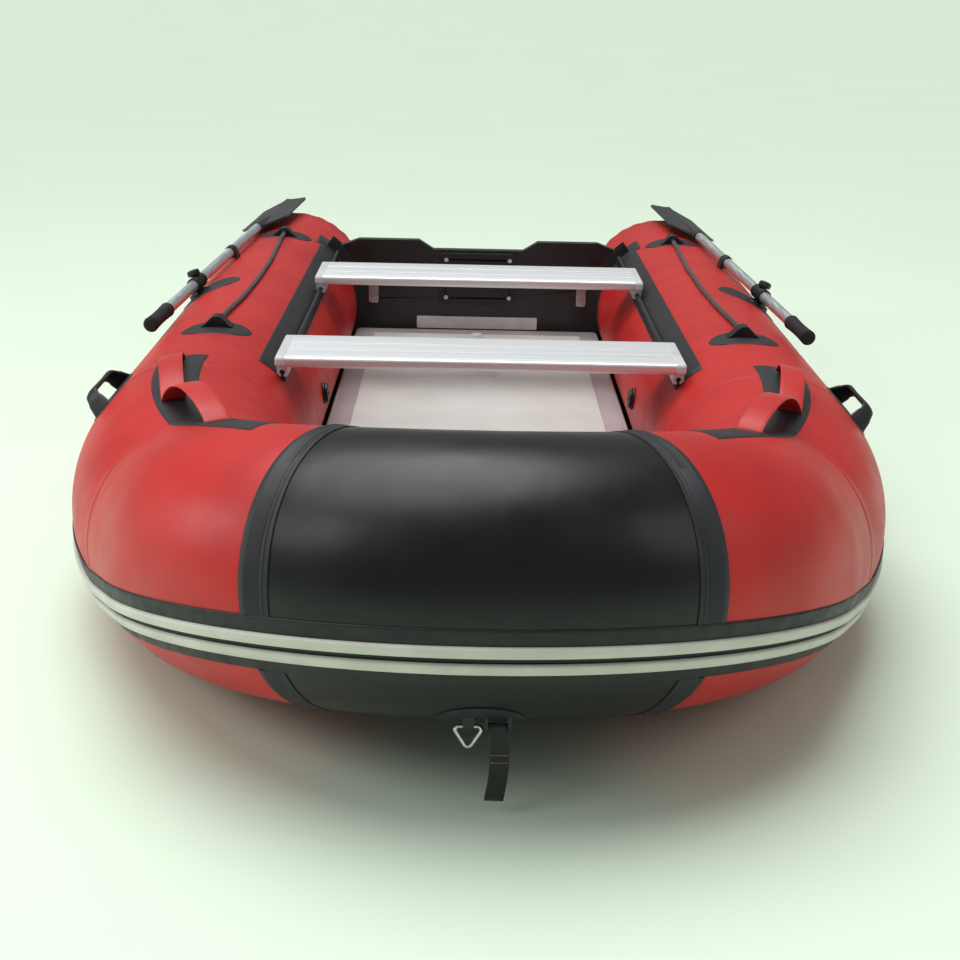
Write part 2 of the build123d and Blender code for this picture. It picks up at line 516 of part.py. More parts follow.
# ---- seats ----
def seats():
    inner_h, chamber = SEAT_T - 2 * SEAT_WALL, (SEAT_DEPTH - 2 * SEAT_WALL - SEAT_WEBS * SEAT_WALL) / (SEAT_WEBS + 1)
    profile = RectangleRounded(SEAT_DEPTH, SEAT_T, SEAT_ROUND)
    for index in range(SEAT_WEBS + 1):
        centre = -SEAT_DEPTH / 2 + SEAT_WALL + chamber / 2 + index * (chamber + SEAT_WALL)
        profile = profile - Pos(centre, 0) * RectangleRounded(chamber, inner_h, SEAT_ROUND - SEAT_WALL)
    end_x = SEAT_HALF
    shoe_half = BEAD_R + RAIL_FIT + SHOE_WALL
    shoe_top, shoe_low = SEAT_TOP - SEAT_T, BEAD_Z - BEAD_R - 3.0
    for name, y in (("front_seat", FRONT_SEAT_Y), ("rear_seat", REAR_SEAT_Y)):
        side = Plane((-end_x, y, SEAT_TOP - SEAT_T / 2), x_dir=(0, 1, 0), z_dir=(1, 0, 0))
        save(name, extrude(side * profile, amount=2 * end_x, dir=(1, 0, 0)))
        shoe = Pos(RAIL_X, y, (shoe_top + shoe_low) / 2) * Box(2 * shoe_half, SHOE_LENGTH, shoe_top - shoe_low)
        cover = Pos((end_x + RAIL_X + shoe_half) / 2, y, SEAT_TOP - SEAT_T / 2) * Box(
            RAIL_X + shoe_half - end_x, SEAT_DEPTH, SEAT_T)
        cover = fillet(cover.edges().filter_by(Axis.X), SEAT_ROUND)
        cover = fillet(cover.faces().sort_by(Axis.X)[-1].edges(), 4)
        bead = Plane((RAIL_X, y + SHOE_LENGTH, BEAD_Z), x_dir=(1, 0, 0), z_dir=(0, -1, 0))
        slot = Pos(RAIL_X, y, BEAD_Z - 20) * Box(RAIL_WEB + 2 * RAIL_FIT, SHOE_LENGTH * 2, 40)
        shoe = shoe + cover - cylinder_on(bead, BEAD_R + RAIL_FIT, 0, 2 * SHOE_LENGTH) - slot
        shoe = hugging(shoe, station_of(y) - SEAT_DEPTH, station_of(y) + SEAT_DEPTH, TUBE_R + RAIL_T + 1)
        save(name + "_ends", *both(shoe))

    strip = carried(sector(TUBE_R, TUBE_R + RAIL_T, RAIL_LOW, RAIL_HIGH), station_of(RAIL_START), station_of(RAIL_END))
    web_low = TUBE_R + sqrt(TUBE_R ** 2 - (HALF_SPACING - RAIL_X - RAIL_WEB / 2) ** 2) + RAIL_T / 3
    web = Pos(RAIL_X, (RAIL_START + RAIL_END) / 2, (web_low + BEAD_Z) / 2) * Box(
        RAIL_WEB, RAIL_END - RAIL_START, BEAD_Z - web_low)
    bead = Plane((RAIL_X, RAIL_END, BEAD_Z), x_dir=(1, 0, 0), z_dir=(0, -1, 0))
    rail = strip + web + cylinder_on(bead, BEAD_R, 0, RAIL_END - RAIL_START)
    save("seat_rails", *both(rail))


# ---- valves ----
def valves():
    bodies, top = [], GAP + VALVE_FLANGE_T
    for name, plane in VALVE_PLANES.items():
        body = cylinder_on(plane, VALVE_FLANGE_R, GAP, top) + cylinder_on(plane, VALVE_BARREL_R, -VALVE_BARREL, GAP)
        body = body - cylinder_on(plane, VALVE_BORE_R, -VALVE_BARREL - 1, top + 1)
        web = cylinder_on(plane, VALVE_BORE_R, -VALVE_WEB_DEPTH - VALVE_WEB_T, -VALVE_WEB_DEPTH)
        body = body + (web - cylinder_on(plane, STEM_R + STEM_FIT, -VALVE_BARREL, top))
        stem = cylinder_on(plane, STEM_R, -VALVE_WEB_DEPTH - VALVE_WEB_T - 3, -2)
        stem = stem + cylinder_on(plane, STEM_BUTTON_R, -4, -1)
        poppet_top = -VALVE_WEB_DEPTH - VALVE_WEB_T - GAP
        stem = stem + cylinder_on(plane, POPPET_R, poppet_top - 2.5, poppet_top)
        cap = cylinder_on(plane, CAP_R, top + GAP, top + GAP + CAP_T)
        cap = fillet(cap.edges().filter_by(GeomType.CIRCLE), 1.5)
        cap = cap + cylinder_on(plane, VALVE_BORE_R - GAP, top - CAP_BOSS, top + GAP)
        across = Plane(plane.origin + plane.z_dir * (top + GAP + CAP_T), x_dir=plane.x_dir, z_dir=plane.z_dir)
        cap = cap - extrude(across.offset(-2) * Rectangle(CAP_R * 3, 5), amount=6, dir=plane.z_dir)
        if name == "bow":
            bodies.append(body)
            save("bow_valve_stem", stem)
            save("bow_valve_cap", cap)
            continue
        bodies += both(body)
        for side, piece in (("port", lambda s: s), ("starboard", lambda s: mirror(s, about=Plane.YZ))):
            save(f"{side}_valve_stem", piece(stem))
            save(f"{side}_valve_cap", piece(cap))
    save("valve_bodies", *bodies)


# ---- handles, lifelines ----
def arch(start, end, rise, normal, width, thickness):
    """A strap bowed up between two points."""
    chord = (end - start)
    along = chord.normalized()
    across = normal.cross(along).normalized()
    up = along.cross(across)
    plane = Plane(start - across * (width / 2), x_dir=along, z_dir=along.cross(up))
    span = chord.length
    outer = [(0, 0), (span / 2, rise), (span, 0)]
    inner = [(thickness * 1.6, 0), (span / 2, rise - thickness), (span - thickness * 1.6, 0)]
    face = make_face([ThreePointArc(*outer), Line(outer[2], inner[2]),
                      ThreePointArc(inner[2], inner[1], inner[0]), Line(inner[0], outer[0])])
    solid = extrude(plane * face, amount=width, dir=plane.z_dir)
    centre = solid.bounding_box().center()
    wanted = (start + end) / 2
    return solid.moved(Location(across * (wanted - centre).dot(across)))


def grab_handles():
    skin = carried(sector(TUBE_R, TUBE_R + PATCH_T, 55, 128), SEAM_STATION + 60, SIDE_STATION + 110)
    outer = ThreePointArc((632, -458), (566, -800), (352, -1150))
    front = Line((352, -1150), (318, -1072))
    inner = ThreePointArc((318, -1072), (478, -800), (538, -448))
    crescent = make_face([outer, front, inner, Line((538, -448), (632, -458))])
    cutter = extrude(Pos(0, 0, 300) * crescent, amount=400)
    save("grab_patches", *both(skin & cutter))

    ends = [on_tube(station_of(-490), 80, PATCH_T), on_tube(SIDE_STATION - 235, 84, PATCH_T),
            on_tube(SIDE_STATION - 560, 88, PATCH_T)]
    straps = []
    for first, second, rise in ((ends[0], ends[1], 34), (ends[1], ends[2], 40)):
        normal = (first.z_dir + second.z_dir).normalized()
        straps.append(arch(first.origin, second.origin, rise, normal, STRAP_WIDTH, STRAP_T))
    whole = straps[0] + straps[1]
    whole = hugging(whole, SEAM_STATION + 60, SIDE_STATION + 110, TUBE_R + PATCH_T)
    save("grab_straps", *both(whole))

    plane = on_tube(HANDLE_STATION, HANDLE_ANGLE)
    half, bar = HANDLE_LENGTH / 2, HANDLE_BAR
    outline = [(-half, -6), (-half + 24, HANDLE_RISE), (half - 24, HANDLE_RISE), (half, -6)]
    hollow = [(-half + bar + 6, -8), (-half + 27 + bar, HANDLE_RISE - bar), (half - 27 - bar, HANDLE_RISE - bar),
              (half - bar - 6, -8)]
    face = make_face(Polyline(*outline, close=True)) - make_face(Polyline(*hollow, close=True))
    side = Plane(plane.origin - plane.y_dir * (HANDLE_WIDTH / 2), x_dir=plane.x_dir,
                 z_dir=plane.y_dir * -1)
    handle = extrude(side * face, amount=-HANDLE_WIDTH)
    handle = hugging(handle, HANDLE_STATION - 150, HANDLE_STATION + 150, TUBE_R + PATCH_T)
    save("side_handles", *both(handle))


def lifelines():
    patches, holders = [], []
    for y, angle, face_y in ((FRONT_HOLDER_Y, HOLDER_ANGLES[0], 1), (REAR_HOLDER_Y, HOLDER_ANGLES[1], -1)):
        station = station_of(y)
        patches += both(oval_patch(station - face_y * 18, angle, 52, 76))
        plane = on_tube(station, angle)
        across = plane.y_dir
        base = Plane(plane.origin - plane.x_dir * (HOLDER_LENGTH / 2), x_dir=across, z_dir=plane.x_dir)
        half = HOLDER_WIDTH / 2
        up = 1 if base.y_dir.dot(plane.z_dir) > 0 else -1
        face = make_face(Polyline((-half, -up * 4), (half, -up * 4), (half * 0.25, up * HOLDER_HEIGHT),
                                  (-half * 0.25, up * HOLDER_HEIGHT), close=True))
        block = extrude(base * face, amount=HOLDER_LENGTH, dir=plane.x_dir)
        holders += both(hugging(block, station - 60, station + 60, TUBE_R + PATCH_T))
    patches += both(oval_patch(station_of(LOCK_Y), LOCK_PATCH_ANGLE, LOCK_PATCH_ALONG, LOCK_PATCH_ACROSS))
    patches += both(oval_patch(HANDLE_STATION, HANDLE_ANGLE, HANDLE_PATCH_ALONG, HANDLE_PATCH_ACROSS))
    save("tube_patches", *patches)
    save("lifeline_holders", *holders)

    points = [Vector(*p) for p in LIFELINE]
    radii = []
    for a, b, c in zip(points, points[1:], points[2:]):
        turn = radians((b - a).get_angle(c - b))
        radii.append(0.45 * min((b - a).length, (c - b).length) / tan(turn / 2))
    print("lifeline radii", [round(r) for r in radii])
    path = FilletPolyline(*points, radius=radii)
    start = Plane(points[0], z_dir=points[1] - points[0])
    rope = sweep(start * Circle(ROPE_R), path=path)
    print("lifeline volume", round(rope.volume), "against", round(pi * ROPE_R ** 2 * path.length))
    save("port_lifeline", rope)
    save("starboard_lifeline", mirror(rope, about=Plane.YZ))


# ---- oars ----
def oar_frame():
    """Plane at the lock: x is aft along the stowed oar, z is up the pin."""
    tilt = radians(PIN_TILT)
    pin = Vector(cos(tilt), 0, sin(tilt))
    along = Vector(STOW_RUN, 1, 0)
    along = (along - pin * along.dot(pin)).normalized()
    return Plane((LOCK_X, LOCK_Y, LOCK_Z), x_dir=along, z_dir=pin)


OAR = oar_frame()


def along_oar(distance):
    """Cross-section plane of the stowed port oar at a distance aft of the lock."""
    return Plane(OAR.origin + OAR.x_dir * distance, x_dir=OAR.y_dir, z_dir=OAR.x_dir)


def oars():
    pieces = {}
    grip_start = -GRIP_REACH
    lock_hole = cylinder_on(OAR, PIN_R + PIN_FIT, -40, 40)
    shaft = cylinder_on(along_oar(0), SHAFT_R, grip_start + 8, BLADE_START + 60)
    shaft = shaft - cylinder_on(along_oar(0), SHAFT_R - SHAFT_WALL, grip_start - 20, BLADE_START + 80)
    pieces["oar_shaft"] = shaft - lock_hole
    collar = cylinder_on(along_oar(0), COLLAR_R, -COLLAR_LENGTH / 2, COLLAR_LENGTH / 2)
    collar = collar - cylinder_on(along_oar(0), SHAFT_R, -COLLAR_LENGTH, COLLAR_LENGTH)
    pieces["oar_collar"] = collar - lock_hole
    grip = cylinder_on(along_oar(0), GRIP_R, grip_start, grip_start + GRIP_LENGTH)
    grip = fillet(grip.edges().filter_by(GeomType.CIRCLE), 6)
    pieces["oar_grip"] = grip - cylinder_on(along_oar(0), SHAFT_R, grip_start + 8, grip_start + GRIP_LENGTH + 10)
    half = BLADE_WIDTH / 2
    end = BLADE_START + BLADE_LENGTH
    outline = make_face([
        Line((BLADE_START, -18), (BLADE_START, 18)), Line((BLADE_START, 18), (BLADE_START + 90, half)),
        Line((BLADE_START + 90, half), (end - 30, half)),
        ThreePointArc((end - 30, half), (end, 0), (end - 30, -half)),
        Line((end - 30, -half), (BLADE_START + 90, -half)), Line((BLADE_START + 90, -half), (BLADE_START, -18)),
    ])
    blade = extrude(OAR.offset(-BLADE_T / 2) * outline, amount=BLADE_T, dir=OAR.z_dir)
    blade = blade + cylinder_on(along_oar(0), SHAFT_R + 3, BLADE_START, BLADE_START + 90)
    blade = blade + cylinder_on(along_oar(0), 7, BLADE_START + 90, end - 90)
    blade = blade - cylinder_on(along_oar(0), SHAFT_R, BLADE_START - 10, BLADE_START + 60)
    pieces["oar_blade"] = blade
    for name, piece in pieces.items():
        save("port_" + name, piece)
        save("starboard_" + name, mirror(piece, about=Plane.YZ))

    boss = cylinder_on(OAR, BOSS_R, -60, -COLLAR_R - GAP)
    pin = cylinder_on(OAR, PIN_R, -COLLAR_R - GAP, COLLAR_R + 2 * GAP + KNOB_T)
    station = station_of(LOCK_Y)
    base = hugging(boss + pin, station - 80, station + 80, TUBE_R + PATCH_T)
    save("oarlock_bases", *both(base))
    knob = cylinder_on(OAR, KNOB_R, COLLAR_R + GAP, COLLAR_R + GAP + KNOB_T)
    knob = fillet(knob.edges().filter_by(GeomType.CIRCLE), 3)
    save("oarlock_knobs", *both(knob - cylinder_on(OAR, PIN_R, 0, COLLAR_R + 2 * GAP + KNOB_T)))

    inner = SHAFT_R + CLIP_FIT
    outer = inner + CLIP_WALL
    clip_plane = along_oar(CLIP_REACH - CLIP_LENGTH / 2)
    hook = Circle(outer) - Circle(inner)
    hook = hook + Pos(outer * 0.5 + 3, -CLIP_FOOT / 2) * Rectangle(outer * 0.6, CLIP_FOOT) - Circle(inner)
    opening = Pos(-outer, 0) * Rectangle(2 * outer, 2 * inner)
    clip = extrude(clip_plane * (hook - opening), amount=CLIP_LENGTH, dir=clip_plane.z_dir)
    lock_y = LOCK_Y + CLIP_REACH
    clip_station = station_of(lock_y)
    clip = hugging(clip, clip_station - 60, clip_station + 60, TUBE_R + GAP)
    save("oar_clips", *both(clip))


# ---- tow point ----
def tow_point():
    plane = on_tube(0, TOW_ANGLE)
    half = carried(sector(TUBE_R, TUBE_R + PATCH_T, TOW_ANGLE - 18, TOW_ANGLE + 18), 0, TOW_ALONG * 1.3)
    whole = half + mirror(half, about=Plane.YZ)
    oval = extrude(plane.offset(-20) * Ellipse(TOW_ALONG, TOW_ACROSS), amount=40, dir=plane.z_dir)
    save("tow_patch", whole & oval)

    low = plane.origin + Vector(0, 0, -PIN_DROP)
    ring_at = Vector(RING_X, low.Y, low.Z)
    loop_at = Vector(LOOP_X, low.Y, low.Z)

    def bar(at, width, radius):
        return cylinder_on(Plane(at, x_dir=(0, 1, 0), z_dir=(1, 0, 0)), radius, -width / 2, width / 2)

    def ear(at, width):
        block = Pos(at.X, at.Y, at.Z + 25) * Box(width, 2 * TAB_R, 50)
        return block + bar(at, width, TAB_R)

    tab = ear(ring_at, TAB_WIDTH) - bar(ring_at, TAB_WIDTH * 2, RING_WIRE + RING_FIT)
    reach = LOOP_WIDTH / 2 + GAP + LOOP_EAR / 2
    ears = ear(loop_at - Vector(reach, 0, 0), LOOP_EAR) + ear(loop_at + Vector(reach, 0, 0), LOOP_EAR)
    ears = ears + bar(loop_at, LOOP_WIDTH + 2 * GAP + 2 * LOOP_EAR, LOOP_PIN_R)
    tube = round_the_bow(Circle(TUBE_R + PATCH_T), SEAM_STATION)
    save("tow_anchor", tab - tube, ears - tube)

    half_w, height, wire = RING_WIDTH / 2, RING_HEIGHT, RING_WIRE
    front = Plane(ring_at, x_dir=(1, 0, 0), z_dir=(0, -1, 0))
    corners = [(-half_w, 0), (half_w, 0), (0, -height)]
    outline = FilletPolyline(*[front.from_local_coords(Vector(*c, 0)) for c in corners],
                             radius=RING_ROUND, close=True)
    start = Plane(outline @ 0, z_dir=outline % 0)
    save("tow_ring", sweep(start * Circle(wire), path=outline))

    side = Plane(loop_at, x_dir=(0, 1, 0), z_dir=(1, 0, 0))
    outer_r, length = LOOP_PIN_R + GAP + LOOP_T, LOOP_LENGTH
    end_r = LOOP_T + LOOP_FOLD
    outer = make_face(Polyline((-outer_r, 0), (outer_r, 0), (end_r, -length), (-end_r, -length), close=True))
    outer = outer + Circle(outer_r) + Pos(0, -length) * Circle(end_r)
    inner = Circle(LOOP_PIN_R + GAP)
    inner = inner + make_face(Polyline((-LOOP_PIN_R, 0), (LOOP_PIN_R, 0), (LOOP_FOLD, -length),
                                       (-LOOP_FOLD, -length), close=True))
    strap = extrude(side.offset(-LOOP_WIDTH / 2) * (outer - inner), amount=LOOP_WIDTH, dir=(1, 0, 0))
    save("bow_strap", strap)


hull_tubes()
stern_ends()
strake()
bottom()
deck()
transom()
seats()
valves()
grab_handles()
lifelines()
oars()
tow_point()
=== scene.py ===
# Three-metre inflatable dinghy. Metres, +Z up, the bow points along -Y and the port side is +X.
from math import acos, atan2, cos, degrees, exp, pi, radians, sin, sqrt

import bmesh
import bpy
from mathutils import Matrix, Vector, noise


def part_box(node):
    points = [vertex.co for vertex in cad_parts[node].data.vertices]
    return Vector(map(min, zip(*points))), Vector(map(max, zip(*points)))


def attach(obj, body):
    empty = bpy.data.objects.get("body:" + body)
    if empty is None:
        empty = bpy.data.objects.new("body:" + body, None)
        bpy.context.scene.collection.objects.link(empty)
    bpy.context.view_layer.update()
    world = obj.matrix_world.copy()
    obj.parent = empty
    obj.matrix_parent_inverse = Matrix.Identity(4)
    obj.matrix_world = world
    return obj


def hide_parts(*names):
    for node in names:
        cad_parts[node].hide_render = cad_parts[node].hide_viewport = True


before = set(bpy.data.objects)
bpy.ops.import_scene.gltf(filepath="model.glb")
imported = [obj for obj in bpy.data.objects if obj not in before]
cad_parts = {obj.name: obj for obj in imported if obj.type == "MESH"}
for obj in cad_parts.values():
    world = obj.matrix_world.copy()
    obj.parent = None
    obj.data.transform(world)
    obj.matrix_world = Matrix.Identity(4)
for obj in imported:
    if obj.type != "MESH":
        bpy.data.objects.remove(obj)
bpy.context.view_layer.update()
print("frame loaded,", len(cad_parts), "nodes")

# the same driving sizes as the CAD hull
hull = {
    "length": 3.0, "tube": 0.21, "halfSpacing": 0.56, "skin": 0.0012, "gap": 0.0003,
    "shoulderRadius": 0.815, "shoulderTurn": 24.6, "liftRadius": 0.285, "liftTurn": 14.3, "climb": 0.12,
    "seam": 0.225, "cone": 0.235, "coneEnd": 0.07, "cap": 0.012,
    "strakeAngle": -18.5, "strakeHalf": 12.5, "strakeThick": 0.003, "bottomEnd": 0.975,
    "sink": 0.0004,  # what is glued on starts this far inside the skin
    "ribAngles": (-14.9, -22.1), "ribHalf": 2.3, "ribHigh": 0.006,
}


camera = {"place": (-0.032, -3.225, 1.163), "yaw": 0.0125, "pitch": 0.344, "roll": 0.0231, "lens": 54.36}


def addObject(name, data):
    item = bpy.data.objects.new(name, data)
    bpy.context.scene.collection.objects.link(item)
    return item


def addCamera():
    yaw, pitch, roll = camera["yaw"], camera["pitch"], camera["roll"]
    forward = Vector((sin(yaw) * cos(pitch), cos(yaw) * cos(pitch), -sin(pitch)))
    level = Vector((cos(yaw), -sin(yaw), 0))
    lift = level.cross(forward)
    right = level * cos(roll) + lift * sin(roll)
    up = lift * cos(roll) - level * sin(roll)
    data = bpy.data.cameras.new("camera")
    data.lens = camera["lens"]
    data.sensor_width = 36
    item = addObject("camera", data)
    facing = Matrix((right, up, -forward)).transposed().to_4x4()
    item.matrix_world = Matrix.Translation(camera["place"]) @ facing
    bpy.context.scene.camera = item


addCamera()


def toLinear(colour):
    channels = [int(colour[i:i + 2], 16) / 255 for i in (1, 3, 5)]
    return tuple(c / 12.92 if c <= 0.04045 else ((c + 0.055) / 1.055) ** 2.4 for c in channels) + (1.0,)


def addNode(material, kind, settings=None, values=None, links=None):
    node = material.node_tree.nodes.new(kind)
    for name, value in (settings or {}).items():
        setattr(node, name, value)
    for name, value in (values or {}).items():
        node.inputs[name].default_value = value
    for name, source in (links or {}).items():
        material.node_tree.links.new(source, node.inputs[name])
    return node


def perMetre(millimetres):
    return 1000.0 / millimetres


def newMaterial(name, colour, values):
    material = bpy.data.materials.new(name)
    material.use_nodes = True
    shader = material.node_tree.nodes["Principled BSDF"]
    shader.inputs["Base Color"].default_value = toLinear(colour)
    for socket, value in values.items():
        shader.inputs[socket].default_value = value
    return material


def surfacePoint(material, stretch=(1, 1, 1)):
    point = addNode(material, "ShaderNodeTexCoord")
    return addNode(material, "ShaderNodeMapping", values={"Scale": stretch},
                   links={"Vector": point.outputs["Object"]}).outputs["Vector"]


def speckle(material, size, detail=3, stretch=(1, 1, 1)):
    # soft noise whose features are that many millimetres
    return addNode(material, "ShaderNodeTexNoise", values={"Scale": perMetre(size), "Detail": detail},
                   links={"Vector": surfacePoint(material, stretch)}).outputs["Fac"]


def tint(material, pattern, dark, light, low=0.35, high=0.65):
    shader = material.node_tree.nodes["Principled BSDF"]
    share = addNode(material, "ShaderNodeMapRange", values={"From Min": low, "From Max": high},
                    links={"Value": pattern}).outputs["Result"]
    mix = addNode(material, "ShaderNodeMix", {"data_type": "RGBA"}, links={"Factor": share})
    mix.inputs["A"].default_value = toLinear(dark)
    mix.inputs["B"].default_value = toLinear(light)
    material.node_tree.links.new(mix.outputs["Result"], shader.inputs["Base Color"])


def vary(material, pattern, socket, low, high):
    shader = material.node_tree.nodes["Principled BSDF"]
    share = addNode(material, "ShaderNodeMapRange",
                    values={"From Min": 0.3, "From Max": 0.7, "To Min": low, "To Max": high},
                    links={"Value": pattern}).outputs["Result"]
    material.node_tree.links.new(share, shader.inputs[socket])


def relief(material, *layers):
    # each layer is a pattern and its height in millimetres
    shader, normal = material.node_tree.nodes["Principled BSDF"], None
    for pattern, height in layers:
        links = {"Height": pattern} if normal is None else {"Height": pattern, "Normal": normal}
        normal = addNode(material, "ShaderNodeBump", values={"Strength": 1.0, "Distance": height / 1000},
                         links=links).outputs["Normal"]
    material.node_tree.links.new(normal, shader.inputs["Normal"])


def waves(material, spacing, direction):
    # at a scale of 1 a wave texture's bands are pi / 10 of a metre apart
    return addNode(material, "ShaderNodeTexWave", {"wave_type": "BANDS", "bands_direction": direction},
                   values={"Scale": perMetre(spacing) * pi / 10, "Distortion": 0.0},
                   links={"Vector": surfacePoint(material)}).outputs["Fac"]


def coatedFabric(name, dark, light, roughness):
    # polyester scrim coated with calendered PVC: satin, with a faint leather-like grain
    material = newMaterial(name, light, {"IOR": 1.45, "Roughness": roughness})
    tint(material, speckle(material, 160, 2), dark, light)
    vary(material, speckle(material, 90, 4), "Roughness", roughness - 0.05, roughness + 0.06)
    # the scrim's threads are 0.5 mm apart, drawn at 1.6 mm so that they show close up
    relief(material, (speckle(material, 1.6, 2), 0.05), (speckle(material, 60, 2), 0.5))
    return material


redPvc = coatedFabric("coatedFabricRed", "#b41b19", "#c1211d", 0.44)
blackPvc = coatedFabric("coatedFabricBlack", "#040506", "#060708", 0.34)
slatePvc = coatedFabric("coatedFabricSlate", "#1d1e23", "#26272d", 0.52)
edgePvc = coatedFabric("coatedTapeGrey", "#9f9395", "#ada1a3", 0.5)


def dropStitchFabric():
    # coated fabric pulled flat by thousands of threads, so faint rows of pin dimples show
    material = newMaterial("dropStitchFabric", "#cfccc8", {"IOR": 1.5, "Roughness": 0.5})
    tint(material, speckle(material, 220, 3), "#c6c3be", "#d3d0cc")
    vary(material, speckle(material, 70, 3), "Roughness", 0.44, 0.56)
    # the threads stand 8 mm apart
    dimples = addNode(material, "ShaderNodeTexVoronoi", {"voronoi_dimensions": "3D"},
                      values={"Scale": perMetre(8), "Randomness": 0.25},
                      links={"Vector": surfacePoint(material)}).outputs["Distance"]
    relief(material, (dimples, 0.25), (speckle(material, 120, 2), 0.8))
    return material


def mouldedRubber(name, dark, light, roughness):
    # extruded rubber: matt, with fine dust and scuffs that are lighter
    material = newMaterial(name, light, {"IOR": 1.52, "Roughness": roughness})
    tint(material, speckle(material, 70, 3), dark, light, 0.3, 0.7)
    vary(material, speckle(material, 25, 4), "Roughness", roughness - 0.08, roughness + 0.1)
    relief(material, (speckle(material, 1.2, 3), 0.08))
    return material


def mouldedPlastic(name, dark, light, roughness):
    # injection-moulded plastic with a spark-eroded grain about 1 mm across
    material = newMaterial(name, light, {"IOR": 1.49, "Roughness": roughness})
    tint(material, speckle(material, 60, 4), dark, light)
    vary(material, speckle(material, 18, 3), "Roughness", roughness - 0.06, roughness + 0.08)
    relief(material, (speckle(material, 1.0, 3), 0.06))
    return material


blackRubber = mouldedRubber("extrudedRubberBlack", "#050506", "#0a0a0c", 0.5)
greyRubber = mouldedRubber("extrudedRubberGrey", "#c6c5bb", "#d3d2c8", 0.46)
gripFoam = mouldedRubber("gripFoamBlack", "#070708", "#0e0e0f", 0.78)
blackPlastic = mouldedPlastic("mouldedNylonBlack", "#0a0a0c", "#131316", 0.42)
bladePlastic = mouldedPlastic("mouldedPolypropyleneGrey", "#26272a", "#303236", 0.46)
greyPlastic = mouldedPlastic("mouldedAbsLightGrey", "#c3c5c7", "#d2d4d6", 0.4)
deckPvc = dropStitchFabric()


def phenolicPly():
    # film-faced marine plywood: hard, near black and slightly glossy, with faint grain printed through
    material = newMaterial("filmFacedPlywood", "#0b0b0c", {"IOR": 1.55, "Roughness": 0.34})
    grain = speckle(material, 14, 6, (0.06, 1, 1))
    tint(material, grain, "#080809", "#0f0f11")
    vary(material, speckle(material, 40, 4), "Roughness", 0.28, 0.44)
    relief(material, (grain, 0.12))
    return material


def metal(name, dark, light, roughness, stretch, lineSize):
    # the lines of extruding or polishing run along one way, so the noise is drawn out that way
    material = newMaterial(name, light, {"Metallic": 1.0, "Roughness": roughness})
    lines = speckle(material, lineSize, 4, stretch)
    tint(material, lines, dark, light)
    vary(material, lines, "Roughness", roughness - 0.05, roughness + 0.09)
    relief(material, (lines, 0.03))
    return material


plywood = phenolicPly()
seatAluminium = metal("anodisedAluminiumExtruded", "#e6e8eb", "#edeff1", 0.5, (0.004, 1, 1), 5.0)
oarAluminium = metal("anodisedAluminiumTube", "#d9dbdf", "#e8eaed", 0.36, (1, 0.01, 1), 4.0)
stainless = metal("polishedStainlessSteel", "#b5b3b0", "#c9c7c4", 0.16, (1, 1, 0.2), 3.0)


def wovenStrap(name, dark, light, roughness, spacing, sheen):
    # flat webbing: threads cross each other in rows as wide as a weft thread
    material = newMaterial(name, light, {"IOR": 1.5, "Roughness": roughness, "Sheen Weight": sheen,
                                         "Sheen Roughness": 0.5})
    weave = addNode(material, "ShaderNodeMath", {"operation": "MULTIPLY"})
    for socket, direction in zip(weave.inputs, "ZX"):
        material.node_tree.links.new(waves(material, spacing, direction), socket)
    tint(material, speckle(material, 12, 4), dark, light)
    relief(material, (weave.outputs["Value"], 0.4))
    return material


webbing = wovenStrap("wovenPolyesterBlack", "#09090a", "#121214", 0.75, 2.4, 0.3)
ropeFibre = wovenStrap("braidedPolyesterBlack", "#0a0a0b", "#151517", 0.82, 1.6, 0.35)
redStrap = coatedFabric("coatedWebbingRed", "#b92320", "#c62a26", 0.4)
print("materials made")


# along the hull line, station 0 is the middle of the bow and minus is starboard
def turned(vector, axis, angle):
    return Matrix.Rotation(angle, 3, axis) @ vector


def stretchFrame(stretch, distance):
    start, along, out = stretch["start"], stretch["along"], stretch["out"]
    if "radius" not in stretch:
        return start + along * distance, along, out
    axis = along.cross(stretch["towards"])
    centre = start + stretch["towards"] * stretch["radius"]
    angle = distance / stretch["radius"]
    place = centre + turned(start - centre, axis, angle)
    return place, turned(along, axis, angle), turned(out, axis, angle)


